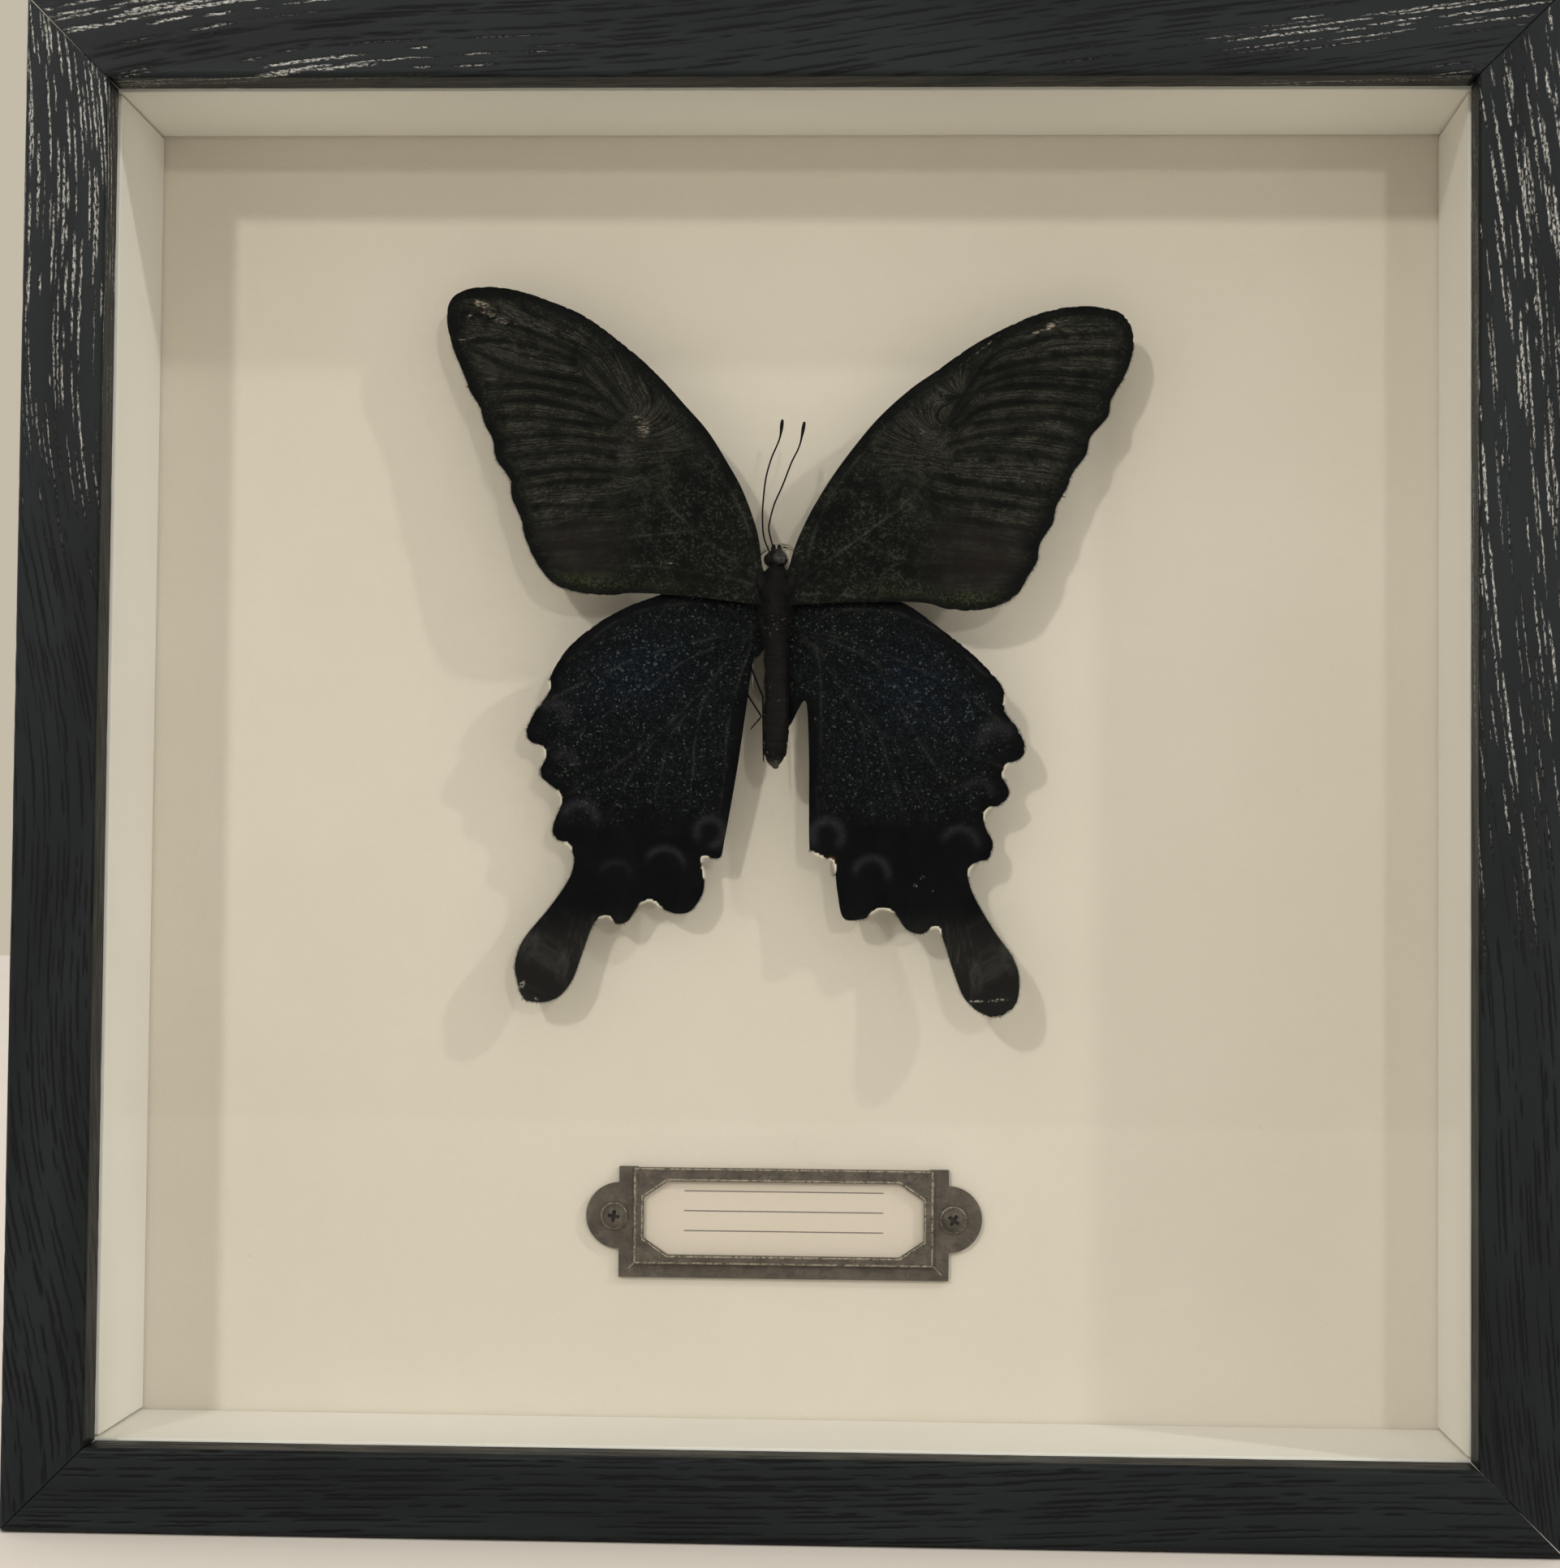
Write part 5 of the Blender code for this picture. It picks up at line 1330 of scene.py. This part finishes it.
vein_line = fore.attribute("vein") * root.step(34.0, 14.0) * (0.15 + mottle.step(0.42, 0.6) * 0.85)
colour = (vein_line * 0.22).mix(colour, tone(96, 95, 86))
colour = (rim.step(0.4, 2.0, 0.8, 0.0) * root.step(9.0, 20.0)).mix(colour, tone(11, 12, 11))
scratch = (fore.attribute("worn") * strokes.step(0.44, 0.64)).step(0.12, 0.7)
colour = scratch.mix(colour, tone(158, 148, 132))
fore.fill(shader, {
    "Base Color": colour,
    "Roughness": 0.64 + scales * 0.12 - stripe * 0.14,
    "Normal": fore.bump(scales * 0.35 + thread * stripe, 0.05),
    "Specular IOR Level": 0.05,
})
build_wing("forewing_left", FOREWING, "forewing_black")
build_wing("forewing_right", FOREWING, "forewing_black")

# %% [markdown]
# A hindwing is blacker. Fine greenish and slate scales are scattered over it, thick with blue near the front
# edge, and they stop at a line across the wing, below which it is plain velvet black with faint crescents
# near the scalloped edge. The green that this species flashes in sun is left out: the dried wing under room
# light shows only this blue.

# %% Hindwing scales
HINDWING, hind, shader = new_material("hindwing_scales")
place = hind.place()
rim = hind.attribute("rim")
height = place.axis(2) - CENTRE_Z / MM
scales = place.cells(4.6, "Color").axis(0)
sparks = place.cells(3.8, "Color").axis(1)
mottle = place.noise(0.3, 4.0, 0.6)
# Near the outline the scattered scales fade out to plain black. Along the top edge, next to the forewing, that
# plain band is partly painted shade for the forewing's shadow.
inner = (rim + hind.attribute("root").step(16.0, 7.0) * 3.0).step(0.6, 3.0)
speckled = (height + mottle * 6.0).step(-7.0, -1.0) * inner
dust = hind.attribute("dust")
colour = mottle.step(0.3, 0.7).mix(tone(6, 7, 8), tone(10, 11, 12))
colour = (speckled * scales.step(0.62, 0.98) * 0.6).mix(colour, tone(35, 42, 40))
colour = (speckled * dust * scales.step(0.2, 0.95) * 0.5).mix(colour, tone(20, 30, 46))
colour = (speckled * dust * sparks.step(0.84, 0.98) * 0.8).mix(colour, tone(48, 62, 82))
colour = (speckled * sparks.step(0.93, 0.99) * 0.6).mix(colour, tone(74, 80, 74))
tail = height.step(-20.0, -27.0)
streaks = hind.flow("stripes").stretched((0.25, 5.0, 1.0)).noise(1.0, 4.0, 0.65)
colour = (tail * 0.75).mix(colour, tone(33, 32, 30))
colour = (tail * streaks.step(0.45, 0.75) * 0.7).mix(colour, tone(66, 64, 60))
colour = (hind.attribute("moon") * (0.25 + scales * 0.4)).mix(colour, tone(56, 53, 57))
colour = hind.attribute("spot").mix(colour, tone(140, 92, 58))
vein_line = hind.attribute("vein") * (0.15 + mottle.step(0.44, 0.6) * 0.85) * height.step(-10.0, 2.0)
colour = (vein_line * 0.14).mix(colour, tone(92, 94, 88))
scratch = (hind.attribute("worn") * scales.step(0.2, 0.7)).step(0.2, 0.7)
colour = scratch.mix(colour, tone(150, 146, 134))
colour = hind.attribute("white").step(0.15, 0.6).mix(colour, tone(214, 208, 190))
hind.fill(shader, {
    "Base Color": colour,
    "Roughness": 0.68 + scales * 0.12 - dust * 0.12,
    "Normal": hind.bump(scales, 0.04),
    "Specular IOR Level": 0.05,
})
build_wing("hindwing_left", HINDWING, "hindwing_blue_black")
build_wing("hindwing_right", HINDWING, "hindwing_blue_black")

# %% [markdown]
# The body: head with two round eyes and short palps, a thorax of muscle under hair, and a soft ringed
# abdomen that shrank as it dried. One ball primitive is run along the body's profile, so its poles stay
# closed, and the rings, the pinched waist and the dents come from sums over its points. Eyes and palps are
# balls pressed into ovals.

# %% Body form
BODY_PROFILE = [
    (0.0, 33.0), (0.8, 32.8), (1.4, 32.2), (1.65, 31.4), (1.4, 30.7), (1.1, 30.3), (1.6, 29.6), (2.2, 28.2),
    (2.5, 26.2), (2.5, 24.0), (2.2, 22.0), (1.8, 20.3), (1.7, 19.2), (1.75, 17.6), (1.8, 14.0), (1.8, 10.0),
    (1.95, 6.5), (2.0, 4.6), (1.8, 3.1), (1.35, 1.6), (0.75, 0.6), (0.0, 0.1),
]
BODY_HEIGHT = 11.4
BODY_SLICES = 190
WAIST_Z = 19.0
RING_PITCH = 2.15


def oval(name, place_mm, radii_mm, turn_deg=0.0, segments=32):
    """A ball pressed into an oval at (x, z, height) in millimetres, turned in the plane of the mat."""
    bpy.ops.mesh.primitive_uv_sphere_add(segments=segments, ring_count=segments // 2, radius=MM)
    piece = settle(name)
    x, z, high = place_mm
    turn = Matrix.Rotation(math.radians(turn_deg), 4, "Y")
    move = Matrix.Translation((x * MM, MAT_Y - high * MM, CENTRE_Z + z * MM))
    piece.data.transform(move @ turn @ Matrix.Diagonal((*radii_mm, 1)))
    return piece


def body_core():
    bpy.ops.mesh.primitive_uv_sphere_add(segments=72, ring_count=BODY_SLICES, radius=1)
    core = settle("insect_body")
    ball = points_of(core)
    share = np.arccos(np.clip(ball[:, 2], -1, 1)) / math.pi
    turn = np.arctan2(ball[:, 1], ball[:, 0])
    profile = smooth_path(BODY_PROFILE, 0.25)
    run = np.append(0, np.cumsum(np.linalg.norm(np.diff(profile, axis=0), axis=1)))
    radius = np.interp(share * run[-1], run, np.clip(profile[:, 0], 0, None))
    z = np.interp(share * run[-1], run, profile[:, 1])
    abdomen = np.clip((WAIST_Z - z) / 2, 0, 1)
    rings = ((WAIST_Z - z) / RING_PITCH) % 1.0
    crease = np.clip(1 - np.abs(rings - 0.04) / 0.06, 0, 1)
    radius *= 1 + abdomen * (0.05 * rings - 0.03) - 0.05 * abdomen * crease
    radius *= 1 - 0.10 * abdomen * np.exp(-((np.abs(turn) - 0.3) / 0.25) ** 2) * np.clip((14 - z) / 5, 0, 1)
    thorax = np.clip((z - 19.5) / 1.5, 0, 1) * np.clip((30.5 - z) / 1.2, 0, 1)
    radius *= 1 + thorax * (0.05 * np.cos(3 * turn + z) + 0.06 * np.cos(z * 1.9))
    radius *= 1 + 0.035 * ripple(np.stack([turn * 1.6, z], 1), 12, 1.7)
    radius *= 1 + abdomen * 0.07 * ripple(np.stack([turn, z * 0.6], 1), 29, 3.1)
    lean = 0.25 * np.sin(np.clip((WAIST_Z - z) / WAIST_Z, 0, 1) * math.pi)
    x = BODY_X + lean + radius * np.cos(turn)
    high = BODY_HEIGHT - 0.92 * radius * np.sin(turn)
    move_points(core, np.stack([x * MM, MAT_Y - high * MM, CENTRE_Z + z * MM], 1))
    return weld(core)


# %% [markdown]
# Hair covers the thorax and thins out down the abdomen. It is made of spikes laid back along the body,
# rooted on the surface of the body just made, and the same helper that made the fringe scales draws it.

# %% Body with hair, eyes and palps
def body_hair(core, count, seed):
    draw = np.random.default_rng(seed)
    mesh = core.data
    spots = points_of(core)
    normals = np.empty(len(mesh.vertices) * 3)
    mesh.vertices.foreach_get("normal", normals)
    normals = normals.reshape(-1, 3)
    z = (spots[:, 2] - CENTRE_Z) / MM
    density = np.interp(z, [0, 8, 18, 20, 23, 29, 31, 33], [0.10, 0.12, 0.3, 0.9, 1.0, 1.0, 0.5, 0.1])
    radius = np.hypot(spots[:, 0] / MM - BODY_X, 1)
    chosen = draw.choice(len(spots), count, p=density * radius / (density * radius).sum())
    roots = spots[chosen] - normals[chosen] * 0.03 * MM
    long = np.interp(z[chosen], [0, 18, 21, 29, 33], [0.35, 0.7, 1.5, 1.5, 0.6]) * draw.uniform(0.5, 1.1, count)
    lay = np.stack([draw.normal(0, 0.25, count), draw.normal(0, 0.2, count), -np.ones(count)], 1)
    lay += normals[chosen] * draw.uniform(0.15, 0.7, count)[:, None]
    lay /= np.linalg.norm(lay, axis=1)[:, None]
    return spikes("body_hair", roots, roots + lay * (long * MM)[:, None], 0.05, seed + 1)


core = body_core()
hair = body_hair(core, 3200, 91)
extras = [
    oval("eye_left", (BODY_X - 1.05, 31.25, 11.9), (0.82, 0.85, 0.95)),
    oval("eye_right", (BODY_X + 0.75, 31.2, 12.3), (0.95, 0.85, 1.0)),
    oval("palp_left", (BODY_X - 0.5, 32.9, 11.2), (0.35, 0.4, 0.75), 12, 16),
    oval("palp_right", (BODY_X + 0.5, 32.9, 11.2), (0.35, 0.4, 0.75), -12, 16),
    oval("tegula_left", (BODY_X - 2.1, 27.6, 12.3), (0.9, 0.6, 1.6), -14, 24),
    oval("tegula_right", (BODY_X + 2.1, 27.6, 12.3), (0.9, 0.6, 1.6), 14, 24),
    oval("claspers", (BODY_X + 0.15, 0.35, 11.3), (0.5, 0.5, 0.35), 0, 16),
]

DARK_BODY, body, shader = new_material("dark_body")
place = body.place()
height = place.axis(2) - CENTRE_Z / MM
crust = place.noise(1.5, 5.0, 0.65)
colour = crust.step(0.3, 0.7).mix(tone(8, 8, 7), tone(19, 17, 15))
ringed = body.math("SINE", (WAIST_Z - height + crust * 0.8) * (2 * math.pi / RING_PITCH)).step(0.75, 1.0)
colour = (ringed * height.step(18.0, 16.0) * crust.step(0.4, 0.6) * 0.5).mix(colour, tone(33, 31, 27))
# Painted highlight: the pale grey cells on the waist stand in for a glint of light there.
waist = height.step(19.4, 20.2) * height.step(23.4, 22.2)
fleck = place.cells(1.1).step(0.08, 0.18, 1.0, 0.0) * place.noise(0.7).step(0.54, 0.6) * height.step(31.0, 29.0)
painted_glint = place.stretched((1.0, 1.0, 1.8)).cells(1.3).step(0.14, 0.30, 1.0, 0.0) * waist
colour = fleck.most(painted_glint * place.noise(0.9).step(0.42, 0.52)).mix(colour, tone(96, 96, 92))
colour = height.step(1.5, 0.4, 0.0, 0.3).mix(colour, tone(118, 114, 100))
eyes = height.step(30.4, 30.9) * height.step(33.2, 32.6) * place.axis(0).step(BODY_X - 0.5, BODY_X + 0.1)
body.fill(shader, {
    "Base Color": colour,
    "Roughness": 0.5 + crust * 0.25,
    "Coat Weight": eyes * 0.7,
    "Coat Roughness": 0.12,
    "Normal": body.bump(crust, 0.12),
    "Specular IOR Level": 0.1,
})
finish_piece(join(core, hair, *extras), DARK_BODY, "dark_body", "butterfly_body", angle=60, soft=True)

# %% [markdown]
# Antennae are beaded threads with a slim club at the tip, and legs are jointed: a thick thigh, a thin shin
# with spurs, and a foot of many small joints with two claws. Each is one tube whose radius swells at every
# joint, with spikes for spurs and claws.

# %% Antennae
ANTENNAE = {
    "antenna_left": [
        (-3.0, 32.4, 11.8), (-3.8, 34.6, 12.6), (-4.0, 37.3, 13.0), (-3.9, 39.9, 13.3), (-3.5, 43.3, 13.6),
        (-2.7, 46.2, 13.8), (-1.5, 49.2, 13.9), (-1.1, 52.0, 14.0),
    ],
    "antenna_right": [
        (-2.3, 32.6, 12.2), (-3.0, 35.4, 12.9), (-2.9, 36.8, 13.3), (-2.2, 39.4, 13.7), (-1.0, 42.1, 14.0),
        (0.3, 45.5, 14.2), (1.5, 48.1, 14.3), (2.2, 51.6, 14.4),
    ],
}


def in_frame(path):
    """(x, z, height) in millimetres, as places in the row frame."""
    path = np.asarray(path, float)
    return np.stack([path[:, 0] * MM, MAT_Y - path[:, 2] * MM, CENTRE_Z + path[:, 1] * MM], 1)


for name, points in ANTENNAE.items():
    path = in_frame(smooth_path(points, 0.16))
    share = np.linspace(0, 1, len(path))
    radii = 0.125 + 0.014 * np.cos(np.arange(len(path)) * math.pi) + 0.15 * np.exp(-((share - 0.95) / 0.055) ** 2)
    radii[-1] = 0.08
    feeler = tube(f"{name}_thread", path, radii)
    finish_piece(feeler, DARK_BODY, "dark_body", name, angle=60, soft=True)

# %% Legs
LEGS = {
    "leg_hind_left": [
        (-3.4, 19.2, 9.4), (-5.9, 15.8, 8.7), (-3.9, 10.9, 9.0), (-3.8, 6.0, 9.3), (-3.7, 1.2, 9.7),
    ],
    "leg_mid_left": [(-3.5, 22.0, 9.3), (-8.4, 14.6, 8.5), (-4.1, 8.0, 8.5), (-5.7, 6.1, 8.4)],
    "leg_fore_left": [(-3.3, 28.2, 9.4), (-6.4, 29.6, 8.8), (-7.4, 32.6, 8.8), (-8.0, 34.8, 8.9)],
    "leg_hind_right": [(-0.3, 19.2, 9.3), (3.4, 16.2, 8.7), (3.6, 9.8, 8.6), (4.2, 3.0, 7.8)],
    "leg_mid_right": [(0.0, 22.0, 9.3), (5.4, 14.6, 8.5), (5.2, 8.6, 8.3), (5.9, 5.4, 8.0)],
    "leg_fore_right": [(-0.4, 28.2, 9.4), (2.6, 29.6, 8.8), (3.6, 32.0, 8.8), (4.4, 34.0, 8.9)],
}


SPURS = 34


def leg(name, points):
    """Straight thigh, shin and foot with rounded knees."""
    points = np.array(points, float)
    path = []
    for start, stop in zip(points[:-1], points[1:]):
        count = max(3, round(np.linalg.norm(stop - start) / 0.25))
        path.append(start + (stop - start) * np.linspace(0, 1, count, endpoint=False)[:, None])
    path = np.vstack(path + [points[-1:]])
    knee = len(points) - 2
    total = np.append(0, np.cumsum(np.linalg.norm(np.diff(points, axis=0), axis=1)))
    at = np.append(0, np.cumsum(np.linalg.norm(np.diff(path, axis=0), axis=1)))
    stops = [0, 0.5 * total[1], total[1], total[1] + 0.4, total[knee], total[-1]]
    radii = np.interp(at, stops, [0.24, 0.27, 0.19, 0.16, 0.13, 0.085])
    foot = at > total[knee]
    radii[foot] *= 1 + 0.22 * np.cos(at[foot] * 2 * math.pi / 0.7)
    limb = tube(f"{name}_limb", in_frame(path), radii)
    draw = np.random.default_rng(len(name) + int(10 * abs(points[0, 0])))
    chosen = draw.choice(np.flatnonzero(at > total[1]), SPURS)
    ahead = points[-1] - points[-2]
    ahead /= np.linalg.norm(ahead)
    away = ahead * 0.5 + draw.normal(0, 0.5, (SPURS, 3))
    away /= np.linalg.norm(away, axis=1)[:, None]
    tips = path[chosen] + away * draw.uniform(0.18, 0.36, SPURS)[:, None]
    claws = points[-1] + np.array([[0.28, -0.3, 0.0], [-0.28, -0.3, 0.0]])
    roots = np.vstack([path[chosen], points[-1:], points[-1:]])
    spurs = spikes("spurs", in_frame(roots), in_frame(np.vstack([tips, claws])), 0.07, 4)
    return finish_piece(join(limb, spurs), DARK_BODY, "dark_body", name, angle=60, soft=True)


for name, points in LEGS.items():
    leg(name, points)

# %% [markdown]
# The object stands on a plain pale floor. Three small lamps high in a room give the crossed soft shadows
# that a box frame shows, and the rest of the light comes from all round. A dim patch in the sky, where a
# viewer stands in front of the glass, keeps the pane from mirroring a bright room over the dark wings. The
# floor ends 0.9 m in front of the object, so that the mirror image of its edge falls below the tails.

# %% Floor
FLOOR, floor_paint, shader = new_material("pale_floor")
place = floor_paint.place()
floor_paint.fill(shader, {
    "Base Color": place.noise(0.004, 3.0).mix(tone(218, 213, 202), tone(226, 221, 210)),
    "Roughness": 0.85,
})
FLOOR_SIDE, FLOOR_AHEAD = 6.0, 0.9
floor_at = (0, FLOOR_SIDE / 2 - FLOOR_AHEAD, CAD_BOX[0].z - 0.2 * MM)
bpy.ops.mesh.primitive_plane_add(size=FLOOR_SIDE, location=floor_at)
floor = settle("floor")
floor.data.materials.append(FLOOR)

# %% Lamps
OPENING = Vector((0, MAT_Y, CENTRE_Z))
LAMPS = {
    "lamp_main": ((-0.576, -1.5, 0.645), 0.085, 6.9, (1.0, 0.94, 0.90)),
    "lamp_second": ((0.433, -1.5, 0.327), 0.06, 2.9, (1.0, 0.95, 0.91)),
    "lamp_far": ((1.2, -0.79, 0.87), 0.06, 5.6, (1.0, 0.96, 0.94)),
}


def add_lamp(name, offset, size, watts, colour):
    data = bpy.data.lights.new(name, "AREA")
    data.shape = "DISK"
    data.size = size
    data.energy = watts
    data.color = colour
    lamp = bpy.data.objects.new(name, data)
    lamp.location = OPENING + Vector(offset)
    lamp.rotation_euler = (OPENING - lamp.location).to_track_quat("-Z", "Y").to_euler()
    bpy.context.scene.collection.objects.link(lamp)
    lamp.light_linking.receiver_collection = NO_GLARE


NO_GLARE = bpy.data.collections.new("no_glare")
NO_GLARE.objects.link(bpy.data.objects["pane"])
NO_GLARE.collection_objects[0].light_linking.link_state = "EXCLUDE"
for name, (offset, size, watts, colour) in LAMPS.items():
    add_lamp(name, offset, size, watts, colour)
print("lamps", len(LAMPS))

# %% Sky
world = bpy.data.worlds.new("room")
bpy.context.scene.world = world
world.use_nodes = True
sky = Paint(world.node_tree)
toward_viewer = sky.node("ShaderNodeTexCoord", output=0).axis(1) * -1.0
room = toward_viewer.step(0.90, 0.965).mix((0.94, 0.88, 0.84, 1.0), (0.035, 0.035, 0.036, 1.0))
seen = sky.node("ShaderNodeLightPath", output=0)
shade = seen.mix(room, tone(196, 187, 169))
sky.fill(world.node_tree.nodes["Background"], {"Color": shade, "Strength": 1.0})
bpy.context.scene.view_settings.view_transform = "Standard"

# %% [markdown]
# The camera stands a little left of the middle of the glass, slightly below the butterfly's head, half a
# metre away, and looks up and a touch to the left. Its place was worked out from the frame's known square.

# %% Camera
YAW, PITCH, ROLL = (math.radians(a) for a in (-2.458, 2.324, 0.522))
look = Vector((math.sin(YAW) * math.cos(PITCH), math.cos(YAW) * math.cos(PITCH), math.sin(PITCH)))
right = Vector((math.cos(YAW), -math.sin(YAW), 0))
up = right.cross(look)
right, up = math.cos(ROLL) * right + math.sin(ROLL) * up, math.cos(ROLL) * up - math.sin(ROLL) * right
camera_data = bpy.data.cameras.new("camera")
camera_data.sensor_width = 36
camera_data.lens = 72.67
camera_data.clip_start = 0.01
camera = bpy.data.objects.new("camera", camera_data)
turned = Matrix((right, up, -look)).transposed().to_4x4()
camera.matrix_world = Matrix.Translation((0.01912, -0.46896, 0.08862)) @ turned
bpy.context.scene.collection.objects.link(camera)
bpy.context.scene.camera = camera
print("camera", [round(v, 3) for v in camera.location])
